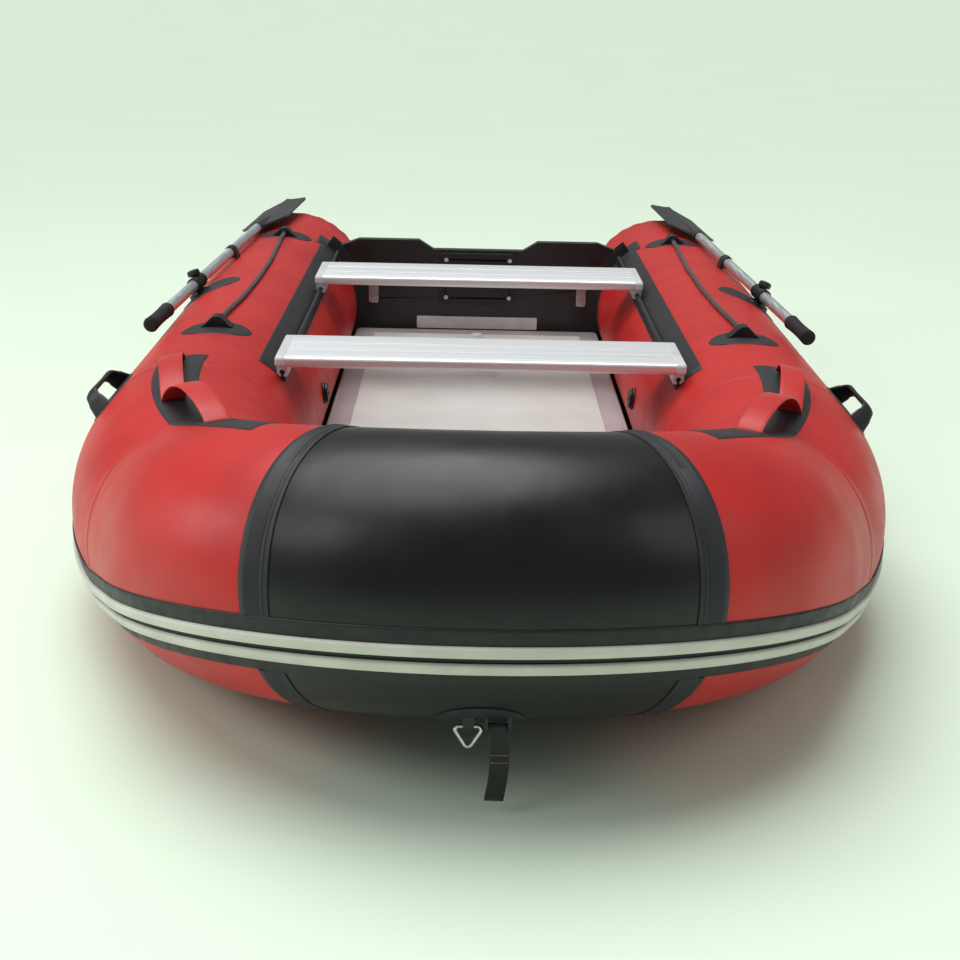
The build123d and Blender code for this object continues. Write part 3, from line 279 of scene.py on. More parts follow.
def centreLine():
    phi, alpha = radians(hull["shoulderTurn"]), radians(hull["liftTurn"])
    inboard, up = Vector((-1, 0, 0)), Vector((0, 0, 1))
    heading = Vector((-sin(phi), -cos(phi), 0))
    climb = heading * cos(alpha) + up * sin(alpha)
    lastTurn = acos(climb.dot(inboard))
    towards = (inboard - climb * climb.dot(inboard)).normalized()
    out = Vector((cos(phi), -sin(phi), 0))
    bowOut = turned(out, climb.cross(towards), lastTurn)
    bowUp = inboard.cross(bowOut)
    corners = [radians(a + k * hull["ribHalf"]) for a in hull["ribAngles"] for k in (-1, 0, 1)]
    reach = max(-(bowOut * cos(a) + bowUp * sin(a)).y for a in corners)
    reach *= hull["tube"] + hull["strakeThick"] + hull["ribHigh"]
    run = hull["liftRadius"] * sin(alpha) + hull["climb"] * cos(alpha)
    side = hull["shoulderRadius"] * (1 - cos(phi)) + sin(phi) * run
    lastRadius = (hull["halfSpacing"] - side) / sin(lastTurn)
    forward = hull["shoulderRadius"] * sin(phi) + cos(phi) * run
    forward += lastRadius * (1 - cos(lastTurn)) * -(climb - inboard * cos(lastTurn)).y / sin(lastTurn)
    shoulder = reach - hull["length"] / 2 + forward
    stern = hull["length"] / 2 - hull["cap"] - hull["cone"]
    stretches = [{"start": Vector((hull["halfSpacing"], stern, hull["tube"])), "along": Vector((0, -1, 0)),
                  "out": Vector((1, 0, 0)), "length": stern - shoulder}]
    turns = [(hull["shoulderRadius"] * phi, inboard, hull["shoulderRadius"]),
             (hull["liftRadius"] * alpha, up, hull["liftRadius"]), (hull["climb"], None, None),
             (lastRadius * lastTurn, towards, lastRadius)]
    for length, turnTo, radius in turns:
        start, along, outward = stretchFrame(stretches[-1], stretches[-1]["length"])
        stretches.append({"start": start, "along": along, "out": outward, "length": length})
        if radius:
            stretches[-1].update(towards=turnTo, radius=radius)
    return stretches, shoulder, stern


stretches, shoulderY, sternY = centreLine()
total = sum(s["length"] for s in stretches)
sideStation = total - stretches[0]["length"]


def stationOf(y):
    return sideStation + y - shoulderY


def hullFrame(station):
    # centre, forward, outboard and up at a station
    distance = total - abs(station)
    for stretch in stretches:
        if distance <= stretch["length"] or stretch is stretches[-1]:
            break
        distance -= stretch["length"]
    centre, forward, out = stretchFrame(stretch, distance)
    up = forward.cross(out)
    if station < 0:
        return tuple(Vector((-v.x, v.y, v.z)) for v in (centre, forward, out, up))
    return centre, forward, out, up


def hullNormal(station, angle):
    out, up = hullFrame(station)[2:]
    return out * cos(radians(angle)) + up * sin(radians(angle))


def onHull(station, angle, height=0.0):
    return hullFrame(station)[0] + hullNormal(station, angle) * (hull["tube"] + height)


def nearestStation(point):
    low, high = 0.0, total
    for step in range(26):
        middle = (low + high) / 2
        centre, forward = hullFrame(middle)[:2]
        low, high = (middle, high) if (point - centre).dot(forward) < 0 else (low, middle)
    return (low + high) / 2


def landOnHull(x, y):
    # station and angle of the place on the port tube under a plan point
    point = Vector((x, y, 2 * hull["tube"]))
    for step in range(7):
        station = nearestStation(point)
        centre, forward, out, up = hullFrame(station)
        arm = point - centre
        point.z += (hull["tube"] - arm.length) * arm.length / max(arm.z, 0.02)
    return station, degrees(atan2(arm.dot(up), arm.dot(out)))


def shares(count):
    return [k / count for k in range(count + 1)]


def ringTurns(count):
    return [2 * pi * k / count for k in range(count)]


# a mesh is a list of points and a list of faces
def loft(loops, ring=False):
    count, rows = len(loops[0]), len(loops)
    points = [p for loop in loops for p in loop]
    faces = []
    for row in range(rows if ring else rows - 1):
        for k in range(count):
            a, b = row * count + k, row * count + (k + 1) % count
            step = count if row < rows - 1 else -count * (rows - 1)
            faces.append((a, b, b + step, a + step))
    if not ring:
        faces += [tuple(range(count))[::-1], tuple((rows - 1) * count + k for k in range(count))]
    return points, faces


def merged(*meshes):
    points, faces = [], []
    for some, sides in meshes:
        faces += [tuple(k + len(points) for k in side) for side in sides]
        points += some
    return points, faces


def mirrored(mesh):
    return [Vector((-p[0], p[1], p[2])) for p in mesh[0]], [side[::-1] for side in mesh[1]]


def bothSides(mesh):
    return merged(mesh, mirrored(mesh))


def lathe(profile, origin, axis, steps, lobes=0, depth=0.0):
    # profile is radius and place along the axis
    axis = Vector(axis).normalized()
    first = axis.orthogonal().normalized()
    second = axis.cross(first)
    loops = []
    for radius, place in profile:
        ringPoints = []
        for turn in ringTurns(steps):
            reach = radius - depth * (0.5 - 0.5 * cos(lobes * turn)) * (radius > depth * 2)
            outward = first * cos(turn) + second * sin(turn)
            ringPoints.append(Vector(origin) + axis * place + outward * reach)
        loops.append(ringPoints)
    return loft(loops)


def strapSection(width, thickness, crown):
    # a flat bar with rounded edges, as places across and up, its underside at zero
    half, r = width / 2, thickness / 2
    edge = [(half - r + r * sin(a), r - r * cos(a)) for a in (0.0, pi / 4, pi / 2, 3 * pi / 4, pi)]
    top = [((half - r) * k / 3, thickness + crown * (1 - (k / 3) ** 2)) for k in (2, 1, 0, -1, -2)]
    other = [(-x, z) for x, z in reversed(edge)]
    return edge + top + other


def ribbon(path, ups, section, ring=False):
    loops, last = [], len(path) - 1
    for k, (point, up) in enumerate(zip(path, ups)):
        ahead = path[(k + 1) % len(path)] if ring else path[min(k + 1, last)]
        behind = path[k - 1] if ring else path[max(k - 1, 0)]
        across = (ahead - behind).cross(up).normalized()
        lift = across.cross(ahead - behind).normalized()
        shape = section[k] if isinstance(section[0], list) else section
        loops.append([point + across * a + lift * h for a, h in shape])
    return loft(loops, ring=ring)


def smoothPath(corners, rounds, steps):
    # a path whose corners are rounded, each by its own share of the shorter run
    path = [corners[0]]
    for before, corner, after, share in zip(corners, corners[1:], corners[2:], rounds):
        cut = share * min((corner - before).length, (after - corner).length)
        first = corner + (before - corner).normalized() * cut
        last = corner + (after - corner).normalized() * cut
        for t in shares(steps):
            path.append(first * (1 - t) ** 2 + corner * 2 * t * (1 - t) + last * t ** 2)
    return path + [corners[-1]]


def edgeSteps(count, lip):
    return [0.0, lip] + [lip + (1 - 2 * lip) * k / count for k in range(1, count)] + [1 - lip, 1.0]


def hullPatch(place, height, along, across, lips):
    # a glued sheet on the tube; place turns two shares into a station and an angle
    loops = []
    for u in edgeSteps(along, lips[0]):
        steps = edgeSteps(across, lips[1])
        spots = [place(u, v) for v in steps]
        rims = [0.35 if u in (0.0, 1.0) or v in (0.0, 1.0) else 1.0 for v in steps]
        top = [onHull(*spot, height * rim) for spot, rim in zip(spots, rims)]
        loops.append(top + [onHull(*spot, -hull["sink"]) for spot in reversed(spots)])
    return loft(loops)


def sweptHull(profile, first, last, step=0.012):
    # profile is angle and height, in a ring
    count = max(2, round((last - first) / step))
    stations = [first + (last - first) * t for t in shares(count)]
    return loft([[onHull(s, angle, height) for angle, height in profile] for s in stations])


def placeIn(origin, xDir, yDir, zDir):
    return lambda x, y, z: origin + xDir * x + yDir * y + zDir * z


def prism(outline, place, low, high):
    return loft([[place(x, y, low) for x, y in outline], [place(x, y, high) for x, y in outline]])


def finishMesh(piece, sharp):
    working = bmesh.new()
    working.from_mesh(piece.data)
    bmesh.ops.remove_doubles(working, verts=working.verts, dist=0.000005)
    bmesh.ops.recalc_face_normals(working, faces=working.faces)
    working.to_mesh(piece.data)
    working.free()
    piece.data.shade_smooth()
    piece.data.set_sharp_from_angle(angle=radians(sharp))


def bevel(piece, width):
    item = piece.modifiers.new("eased edges", "BEVEL")
    item.width, item.segments = width, 2
    item.limit_method, item.angle_limit = "ANGLE", radians(32)
    item.harden_normals = True


def makePiece(name, mesh, material, slot, nodes=(), body="hull", sharp=38, ease=0.0):
    data = bpy.data.meshes.new(name)
    data.from_pydata([tuple(p) for p in mesh[0]], [], mesh[1])
    piece = addObject(name, data)
    finishMesh(piece, sharp)
    data.materials.append(material)
    if ease:
        bevel(piece, ease)
    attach(piece, body)
    if nodes:
        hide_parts(*nodes)
    return piece


def dress(name, material, ease=0.0):
    # a CAD node whose shape is right keeps its mesh and takes a finish, with its edges eased
    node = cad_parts[name]
    node.data.materials.clear()
    node.data.materials.append(material)
    if ease:
        weld = node.modifiers.new("weld", "WELD")
        weld.merge_threshold = 0.00001
        bevel(node, ease)


lifeline = {
    "radius": 0.005, "strands": 8, "twist": 0.034, "swell": 0.09, "length": 1.046, "around": 32,
    "step": 0.0012,
    "route": [(0.561, -0.1904, 0.4265), (0.558, -0.118, 0.4275), (0.550, -0.030, 0.4260),
              (0.544, 0.068, 0.4255), (0.541, 0.172, 0.4256), (0.538, 0.280, 0.4249),
              (0.539, 0.388, 0.4253), (0.538, 0.494, 0.4250), (0.543, 0.598, 0.4257),
              (0.545, 0.692, 0.4254), (0.550, 0.778, 0.4268), (0.549, 0.8544, 0.4274)],
}


def ropeLine(route):
    data = bpy.data.curves.new("rope line", "CURVE")
    data.dimensions, data.resolution_u = "3D", 16
    spline = data.splines.new("NURBS")
    spline.points.add(len(route) - 1)
    for point, place in zip(spline.points, route):
        point.co = (*place, 1)
    spline.order_u = 3
    spline.use_endpoint_u = True
    item = addObject("rope line", data)
    mesh = bpy.data.meshes.new_from_object(item)
    line = [v.co.copy() for v in mesh.vertices]
    bpy.data.objects.remove(item)
    return line


def evenly(line, step):
    # the same line with its points that far apart
    spots, done = [line[0]], 0.0
    for a, b in zip(line, line[1:]):
        length = (b - a).length
        while done + length >= step * len(spots):
            spots.append(a.lerp(b, (step * len(spots) - done) / length))
        done += length
    return spots + [line[-1]]


def braidedRope(line):
    # two sets of strands wind opposite ways and rise where they cross over
    loops, run = [], 0.0
    for k, point in enumerate(line):
        ahead, behind = line[min(k + 1, len(line) - 1)], line[max(k - 1, 0)]
        along = (ahead - behind).normalized()
        first = along.cross(Vector((0, 0, 1))).normalized()
        second = first.cross(along)
        run += (point - behind).length
        turn, loop = 2 * pi * run / lifeline["twist"], []
        for angle in ringTurns(lifeline["around"]):
            left = cos(lifeline["strands"] / 2 * (angle - turn))
            right = cos(lifeline["strands"] / 2 * (angle + turn))
            reach = lifeline["radius"] * (1 + lifeline["swell"] * (max(left, right) - 0.6))
            loop.append(point + (first * cos(angle) + second * sin(angle)) * reach)
        loops.append(loop)
    return loft(loops)


def addLifelines():
    line = evenly(ropeLine(lifeline["route"]), lifeline["step"])
    rope = braidedRope(line)
    for side, mesh, sign in (("port", rope, 1), ("starboard", mirrored(rope), -1)):
        piece = makePiece(side + "LifelineRope", mesh, ropeFibre, "rope", [side + "_lifeline"], sharp=180)
        path = [(p.x * sign, p.y, p.z) for p in line]
        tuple(path[0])


addLifelines()
print("lifelines laid")


tubes = {
    "around": 112, "step": 0.012, "lap": 0.0008, "lapWidth": 0.026, "laps": (0.66, 1.07, 1.98),
    # heights of the ripples, the pull at a seam and its pleats, and of the stern's pleats
    "ripple": 0.0004, "pull": 0.0016, "seamPleat": 0.0003, "sternPleat": 0.0012,
    "fold": {"height": 0.0011, "station": 0.83, "along": 0.15, "angle": 186, "across": 17, "pitch": 0.042},
    "coneRows": 26, "bulge": 0.0072, "gore": 0.0008, "tipPleat": 0.0016,
}


def sternPleat(turn):
    return tubes["sternPleat"] * sin(turn * 24 + 2 * sin(turn * 3))


def swell(station, angle):
    # small departures from a true round: seam pull, lap welds, folds inside the shoulder, stern puckers
    s, turn = abs(station), radians(angle)
    height = tubes["ripple"] * noise.noise(Vector((s * 5, cos(turn) * 1.6, sin(turn) * 1.6 + 3)))
    height -= tubes["pull"] * exp(-((s - hull["seam"]) / 0.014) ** 2)
    height += tubes["seamPleat"] * sin(turn * 41) * exp(-abs(s - hull["seam"]) / 0.03)
    for lap in tubes["laps"]:
        edge = (tubes["lapWidth"] / 2 - abs(s - lap)) / 0.002
        height += tubes["lap"] * min(max(edge, 0.0), 1.0)
    fold = tubes["fold"]
    share = exp(-((s - fold["station"]) / fold["along"]) ** 2)
    share *= exp(-((angle - fold["angle"]) / fold["across"]) ** 2)
    height += fold["height"] * share * sin(s * 2 * pi / fold["pitch"] + 0.7 * sin(s * 40))
    return height + sternPleat(turn) * exp(-(total - s) / 0.035)


def tubeMesh(first, last):
    stations = {first + (last - first) * t for t in shares(round((last - first) / tubes["step"]))}
    half = tubes["lapWidth"] / 2
    for lap in tubes["laps"]:
        for place in (lap - half, lap - half + 0.002, lap + half - 0.002, lap + half):
            if first < place < last:
                stations.add(place)
    angles = [360 * k / tubes["around"] - 90 for k in range(tubes["around"])]
    return loft([[onHull(s, a, swell(s, a)) for a in angles] for s in sorted(stations)])


def coneMesh():
    loops = []
    for t in shares(tubes["coneRows"]):
        radius = hull["tube"] + (hull["coneEnd"] - hull["tube"]) * t
        radius += tubes["bulge"] * sin(pi * t) ** 0.7
        loop = []
        for turn in ringTurns(tubes["around"]):
            pleat = sternPleat(turn) * exp(-t / 0.12)
            pleat += tubes["tipPleat"] * sin(turn * 18 + 1) * exp(-(1 - t) / 0.15)
            gore = tubes["gore"] if abs((degrees(turn) + 45) % 90 - 45) < 4 else 0.0
            reach = radius + pleat + gore
            loop.append(Vector((hull["halfSpacing"] + cos(turn) * reach, sternY + t * hull["cone"],
                                hull["tube"] + sin(turn) * reach)))
        loops.append(loop)
    return loft(loops)


def addTubes():
    port = tubeMesh(hull["seam"], total)
    makePiece("portTubeSkin", port, redPvc, "red_pvc", ["port_tube"])
    makePiece("starboardTubeSkin", mirrored(port), redPvc, "red_pvc", ["starboard_tube"])
    makePiece("bowTubeSkin", tubeMesh(-hull["seam"], hull["seam"]), blackPvc, "black_pvc", ["bow_tube"])
    makePiece("sternConeSkins", bothSides(coneMesh()), redPvc, "red_pvc", ["stern_cones"])
    r = hull["coneEnd"]
    profile = [(0.052, -0.018), (r + 0.004, -0.016), (r + 0.004, 0.002), (r - 0.002, 0.007),
               (r - 0.010, 0.0105), (0.040, 0.0115), (0.036, 0.0095), (0.020, 0.0095), (0.016, 0.012)]
    cap = lathe(profile, (hull["halfSpacing"], sternY + hull["cone"], hull["tube"]), (0, 1, 0), 64)
    makePiece("sternEndCaps", bothSides(cap), blackRubber, "black_rubber", ["stern_end_caps"])
    dress("chamber_baffles", redPvc)


addTubes()
print("tubes inflated")


bands = {
    # across the seam tape, aft is plus: place and height
    "tape": [(-0.0170, 0.0006), (-0.0165, 0.0013), (-0.0125, 0.0016), (-0.0117, 0.0007), (-0.0108, 0.0016),
             (-0.0082, 0.0016), (-0.0074, 0.0007), (-0.0065, 0.0016), (0.0058, 0.0016), (0.0078, 0.0029),
             (0.0103, 0.0034), (0.0128, 0.0029), (0.0146, 0.0016), (0.0166, 0.0013), (0.0170, 0.0006)],
}


def seamTape(low, high):
    loops = []
    for t in shares(max(8, round((high - low) / 2))):
        angle = low + (high - low) * t
        top = [onHull(hull["seam"] + x, angle, h) for x, h in bands["tape"]]
        under = [onHull(hull["seam"] + x, angle, -0.002) for x, h in reversed(bands["tape"])]
        loops.append(top + under)
    return loft(loops)


def strakeBase():
    low, high = hull["strakeAngle"] - hull["strakeHalf"], hull["strakeAngle"] + hull["strakeHalf"]
    thick = hull["strakeThick"]
    tips = [(0.0, -hull["sink"]), (0.0, 0.4 * thick), (0.35, 0.85 * thick), (0.9, thick)]
    left = [(low + a, h) for a, h in tips]
    right = [(high - a, h) for a, h in reversed(tips)]
    groove = []
    middle = sum(hull["ribAngles"]) / 2
    for a, h in ((-1.15, thick), (-0.95, 0.55 * thick), (0.95, 0.55 * thick), (1.15, thick)):
        groove.append((middle + a, h))
    inner = [(high - (high - low) * k / 8, -hull["sink"]) for k in range(1, 8)]
    return left + groove + right + inner


def strakeRib(angle):
    thick, half, high = hull["strakeThick"], hull["ribHalf"], hull["ribHigh"]
    profile = [(angle - half, thick - 0.0008)]
    for k in range(9):
        turn = pi * k / 8
        profile.append((angle - half * abs(cos(turn)) ** 0.55 * (1 if turn < pi / 2 else -1),
                        thick + high * sin(turn) ** 0.6))
    return profile + [(angle + half, thick - 0.0008)]


def addBands():
    top, under = seamTape(-5.9, 233.9), seamTape(-105.9, -31.1)
    last = stationOf(hull["bottomEnd"])
    profile = [(-126, 0.0003), (-125.7, 0.0011), (-106.3, 0.0011), (-106, 0.0003)]
    profile += [(angle, -hull["sink"]) for angle in (-110, -116, -122)]
    lap = sweptHull(profile, -last, last, 0.02)
    makePiece("bowSeamTapes", bothSides(merged(top, under)), slatePvc, "black_pvc")
    makePiece("bottomSeamTape", lap, slatePvc, "black_pvc", ["seam_tapes"])
    strake = sweptHull(strakeBase(), -total, total)
    makePiece("rubStrake", strake, blackRubber, "black_rubber", ["rub_strake"])
    ribs = merged(*[sweptHull(strakeRib(a), -total, total) for a in hull["ribAngles"]])
    makePiece("strakeRibs", ribs, greyRubber, "grey_rubber", ["strake_ribs"])


addBands()
print("bands glued")


bottom = {"angle": -118, "guard": 0.004, "end": 0.085, "across": 44, "slack": 0.0016}
deck = {"top": 0.14, "thick": 0.065, "gap": 0.007, "nose": -0.905, "stern": 0.947, "tape": (0.012, 0.060)}


def bottomMesh():
    def edgeAt(station):
        return onHull(station, bottom["angle"], 2 * hull["skin"] + hull["gap"])

    side = edgeAt(sideStation)
    last = stationOf(hull["bottomEnd"])
    loops, count = [], 120
    for k in range(count + 1):
        station = last + (bottom["end"] - last) * k / count
        edge = edgeAt(station)
        keel = edge.z - (side.z - bottom["guard"]) * edge.x / side.x
        top, low = [], []
        for j in range(bottom["across"] + 1):
            u = 2 * j / bottom["across"] - 1
            x, z = u * edge.x, keel + (edge.z - keel) * abs(u)
            free = (1 - u * u) * min(abs(u) * 4, 1) * min(k / 6, (count - k) / 6, 1)
            z += bottom["slack"] * free * (0.5 + noise.noise(Vector((x * 7, edge.y * 4, 0))))
            top.append(Vector((x, edge.y, z + hull["skin"])))
            low.append(Vector((x, edge.y, z)))
        loops.append(top + low[::-1])
    return loft(loops)


def deckOutline(inset, z, side=24, arc=16, nose=30):
    half = hull["halfSpacing"] - sqrt(hull["tube"] ** 2 - (hull["tube"] - deck["top"]) ** 2)
    half += 0.002 - deck["gap"] - inset
    radius = hull["shoulderRadius"] - hull["halfSpacing"] + half
    centre, turn = hull["halfSpacing"] - hull["shoulderRadius"], radians(hull["shoulderTurn"])
    stern, front = deck["stern"] - inset, deck["nose"] + inset
    port = [(half, stern + (shoulderY - stern) * k / side) for k in range(side)]
    for k in range(arc):
        a = turn * k / arc
        port.append((centre + radius * cos(a), shoulderY - radius * sin(a)))
    tipX, tipY = centre + radius * cos(turn), shoulderY - radius * sin(turn)
    rise = tipY - front
    noseRadius = (tipX ** 2 + rise ** 2) / (2 * rise)
    spread = atan2(tipX, noseRadius - rise)
    middle = []
    for t in shares(nose):
        a = spread * (1 - 2 * t)
        middle.append((noseRadius * sin(a), front + noseRadius * (1 - cos(a))))
    back = [(half * (1 - 2 * k / side) * -1, stern) for k in range(1, side)]
    whole = port + middle + [(-x, y) for x, y in reversed(port)] + back
    return [Vector((x, y, z)) for x, y in whole]


def addDeck():
    top, low = deck["top"], deck["top"] - deck["thick"]
    rim = [(0.030, 0.0), (0.013, 0.0004), (0.006, 0.003), (0.002, 0.009), (0.0, 0.020)]
    loops = [deckOutline(inset, low + rise) for inset, rise in rim]
    loops += [deckOutline(inset, top - rise) for inset, rise in reversed(rim)]
    panel = makePiece("airDeckPanel", loft(loops), deckPvc, "deck_pvc", ["air_deck"], sharp=50)
    first, last = deck["tape"]
    tape = [(first, -hull["sink"]), (first + 0.0004, 0.0008), (last - 0.0004, 0.0010),
            (last, -hull["sink"])]
    mesh = loft([deckOutline(inset, top + rise) for inset, rise in tape], ring=True)
    makePiece("deckEdgeTape", mesh, edgePvc, "edge_pvc", ["deck_edge_tape"])
    valve = [(0.024, -0.001), (0.024, 0.002), (0.0225, 0.003), (0.0175, 0.003), (0.017, 0.0065),
             (0.015, 0.008), (0.007, 0.008), (0.006, 0.0068), (0.002, 0.0068)]
    low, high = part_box("deck_valve")
    middle = (low + high) / 2
    mesh = lathe(valve, (middle.x, middle.y, low.z), (0, 0, 1), 48, lobes=8, depth=0.0012)
    makePiece("deckValve", mesh, greyPlastic, "grey_plastic", ["deck_valve"])
    floor = makePiece("bottomFabric", bottomMesh(), blackPvc, "black_pvc", ["bottom_fabric"], sharp=60)
    dress("keel_guard", blackRubber, 0.0008)
    dress("keel_tube", blackPvc)
    dress("deck_plate", greyPlastic, 0.0004)


addDeck()
print("bottom and deck laid")


def addTransom():
    dress("transom", plywood, 0.0025)
    dress("transom_holders", slatePvc, 0.0006)
    dress("floor_retainer", greyPlastic, 0.0015)
    for name in ("inner_motor_pad", "outer_motor_pad"):
        dress(name, blackPlastic, 0.0015)
    for name in ("motor_pad_screws", "tow_eye_bolts"):
        dress(name, stainless)
    dress("tow_eye_plates", stainless, 0.0004)
    dress("drain_socket", blackPlastic, 0.0004)
    dress("drain_plug", blackPlastic, 0.0005)


addTransom()
print("transom fitted")


seats = {"half": 0.394, "depth": 0.19, "thick": 0.022, "round": 0.007, "grooves": (-0.031, 0.031),
         "groove": ((0.0019, 0), (0.0011, 0.0009))}  # half width and depth, at its mouth and its floor
rail = {"angles": (121, 140), "thick": 0.003, "first": -0.372, "last": 0.905, "x": 0.403, "web": 0.005,
        "bead": 0.0055, "beadZ": 0.368}


def seatProfile():
    half, thick, r = seats["depth"] / 2, seats["thick"] / 2, seats["round"]
    corners = [(half - r, thick - r, 0), (-half + r, thick - r, 90), (-half + r, -thick + r, 180),
               (half - r, -thick + r, 270)]
    outline = []
    for x, z, start in corners:
        for k in range(7):
            a = radians(start + 15 * k)
            outline.append((x + r * cos(a), z + r * sin(a)))
        if start == 0:
            for groove in reversed(seats["grooves"]):
                outline += [(groove + wide, thick - deep) for wide, deep in seats["groove"]]
                outline += [(groove - wide, thick - deep) for wide, deep in reversed(seats["groove"])]
    return outline


def addSeats():
    for name in ("front_seat", "rear_seat"):
        low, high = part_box(name)
        middle = (low + high) / 2
        loops = [[Vector((x, middle.y + y, middle.z + z)) for y, z in seatProfile()]
                 for x in (-seats["half"], seats["half"])]
        makePiece(name.replace("_s", "S") + "Board", loft(loops), seatAluminium, "seat_aluminium", [name],
                  body=name, sharp=30)
        dress(name + "_ends", greyPlastic, 0.0012)


def addRails():
    low, high = rail["angles"]
    first, last = stationOf(rail["first"]), stationOf(rail["last"])
    strip = hullPatch(lambda u, v: (first + (last - first) * u, low + (high - low) * v), rail["thick"],
                      40, 10, (0.002, 0.03))
    rise = hull["halfSpacing"] - rail["x"]
    foot = hull["tube"] + sqrt(hull["tube"] ** 2 - rise ** 2) + 0.001
    r, half = rail["bead"], rail["web"] / 2
    start = atan2(-sqrt(r * r - half * half), half)
    turns = [start + (pi + 2 * abs(start)) * k / 18 for k in range(19)]
    keyhole = [(-half - 0.003, foot - 0.001), (-half, foot + 0.006)]
    keyhole += [(r * cos(a), rail["beadZ"] + r * sin(a)) for a in reversed(turns)]
    keyhole += [(half, foot + 0.004), (half + 0.003, foot - 0.003)]
    loops = []
    for t in shares(60):
        y = rail["first"] + (rail["last"] - rail["first"]) * t
        loops.append([Vector((rail["x"] + x, y, z)) for x, z in keyhole])
    mesh = bothSides(merged(strip, loft(loops)))
    makePiece("seatRails", mesh, slatePvc, "black_pvc", ["seat_rails"])


addSeats()
addRails()
print("seats slid on")


def addValves():
    dress("valve_bodies", blackPlastic, 0.0006)
    for side in ("port", "starboard", "bow"):
        dress(side + "_valve_cap", blackPlastic, 0.0004)
        dress(side + "_valve_stem", stainless)


addValves()


grab = {
    "thick": 0.0015, "outer": ((0.632, -0.458), (0.566, -0.800), (0.352, -1.150)),
    "inner": ((0.538, -0.448), (0.478, -0.800), (0.318, -1.072)),
    "width": 0.044, "strap": 0.0028, "rises": (0.034, 0.040), "tail": 0.022, "press": 0.0018,
    "base": (0.040, 0.054, 0.0034),  # along, across and thick
    # station and angle of each foot
    "anchors": ((stationOf(-0.490), 80), (sideStation - 0.235, 84), (sideStation - 0.560, 88)),
}
handle = {"station": 1.085, "angle": 40, "half": 0.085, "rise": 0.034, "width": 0.030, "bar": 0.008,
          "rib": 0.0009, "ribPitch": 0.012}
ovals = [  # station, angle, half length along the tube, half width round it
    (stationOf(-0.208) - 0.018, 90, 0.052, 0.076), (stationOf(0.872) + 0.018, 93, 0.052, 0.076),
    (stationOf(0.27), 61, 0.062, 0.082), (handle["station"], handle["angle"], 0.115, 0.042),
]


def arcThrough(a, b, c, t):
    # a place on the circle through three plan points, t from 0 at a to 1 at c
    (ax, ay), (bx, by), (cx, cy) = a, b, c
    d = 2 * (ax * (by - cy) + bx * (cy - ay) + cx * (ay - by))
    sa, sb, sc = ax * ax + ay * ay, bx * bx + by * by, cx * cx + cy * cy
    ox = (sa * (by - cy) + sb * (cy - ay) + sc * (ay - by)) / d
    oy = (sa * (cx - bx) + sb * (ax - cx) + sc * (bx - ax)) / d
    first, last = atan2(ay - oy, ax - ox), atan2(cy - oy, cx - ox)
    turn = (last - first + pi) % (2 * pi) - pi
    radius = sqrt((ax - ox) ** 2 + (ay - oy) ** 2)
    return ox + radius * cos(first + turn * t), oy + radius * sin(first + turn * t)


def crescentPatch():
    def place(u, v):
        outer, inner = arcThrough(*grab["outer"], u), arcThrough(*grab["inner"], u)
        return landOnHull(outer[0] + (inner[0] - outer[0]) * v, outer[1] + (inner[1] - outer[1]) * v)

    return hullPatch(place, grab["thick"], 56, 10, (0.004, 0.03))


def ovalPatch(station, angle, along, across):
    def place(u, v):
        # a square laid out as an ellipse
        a, b = 2 * u - 1, 2 * v - 1
        x, y = a * sqrt(1 - b * b / 2), b * sqrt(1 - a * a / 2)
        return station + x * along, angle + degrees(y * across / hull["tube"])

    return hullPatch(place, grab["thick"], 26, 26, (0.02, 0.02))


def grabStrap():
    ends = [(onHull(*spot, grab["thick"]), hullNormal(*spot)) for spot in grab["anchors"]]
    path, ups = [], []
    for (a, upA), (b, upB), rise in zip(ends, ends[1:], grab["rises"]):
        up = (upA + upB).normalized()
        for t in shares(24)[1 if path else 0:]:
            # flat at the glued feet, bowed up between them
            lift = rise * (4 * t * (1 - t)) ** 0.85
            path.append(a.lerp(b, t) + up * (lift - grab["press"] * (lift < rise * 0.05)))
            ups.append(upA.lerp(upB, t))
    feet = []
    for end, near in ((ends[0], ends[1]), (ends[-1], ends[-2])):
        away = (end[0] - near[0]).normalized()
        feet.append((end[0] + away * grab["tail"] - end[1] * hull["sink"], end[1]))
    path, ups = [feet[0][0]] + path + [feet[1][0]], [feet[0][1]] + ups + [feet[1][1]]
    return ribbon(path, ups, strapSection(grab["width"], grab["strap"], 0.0008))


def grabBase(station, angle):
    # the base that a strap's end foot is welded to
    along, across, thick = grab["base"]
    turn = degrees(across / hull["tube"])
    return hullPatch(lambda u, v: (station + along * (u - 0.5), angle + turn * (v - 0.5)), thick,
                     6, 6, (0.06, 0.06))


def sideHandle():
    origin = onHull(handle["station"], handle["angle"], grab["thick"])
    normal = hullNormal(handle["station"], handle["angle"])
    forward = hullFrame(handle["station"])[1]
    half, rise = handle["half"], handle["rise"]
    corners = [(-half - 0.004, -0.006), (-half + 0.016, rise - 0.006), (half - 0.016, rise - 0.006),
               (half + 0.004, -0.006)]
    path = smoothPath([origin + forward * x + normal * z for x, z in corners], (0.42, 0.42), 10)
    whole, sections, ups = len(path) - 1, [], []
    for k, point in enumerate(path):
        place = (point - origin).dot(forward)
        inside = abs(place) < half - 0.02
        # finger ribs along the grip, and feet that spread where they are welded down
        ribs = handle["rib"] * sin(place * 2 * pi / handle["ribPitch"]) if inside else 0.0
        spread = 1 + 0.5 * exp(-min(k, whole - k) / 1.5)
        sections.append(strapSection(handle["width"] * spread, handle["bar"] + ribs, 0.001))
        ups.append(normal + forward * (1.2 * place / half * (not inside)))
    return ribbon(path, ups, sections)


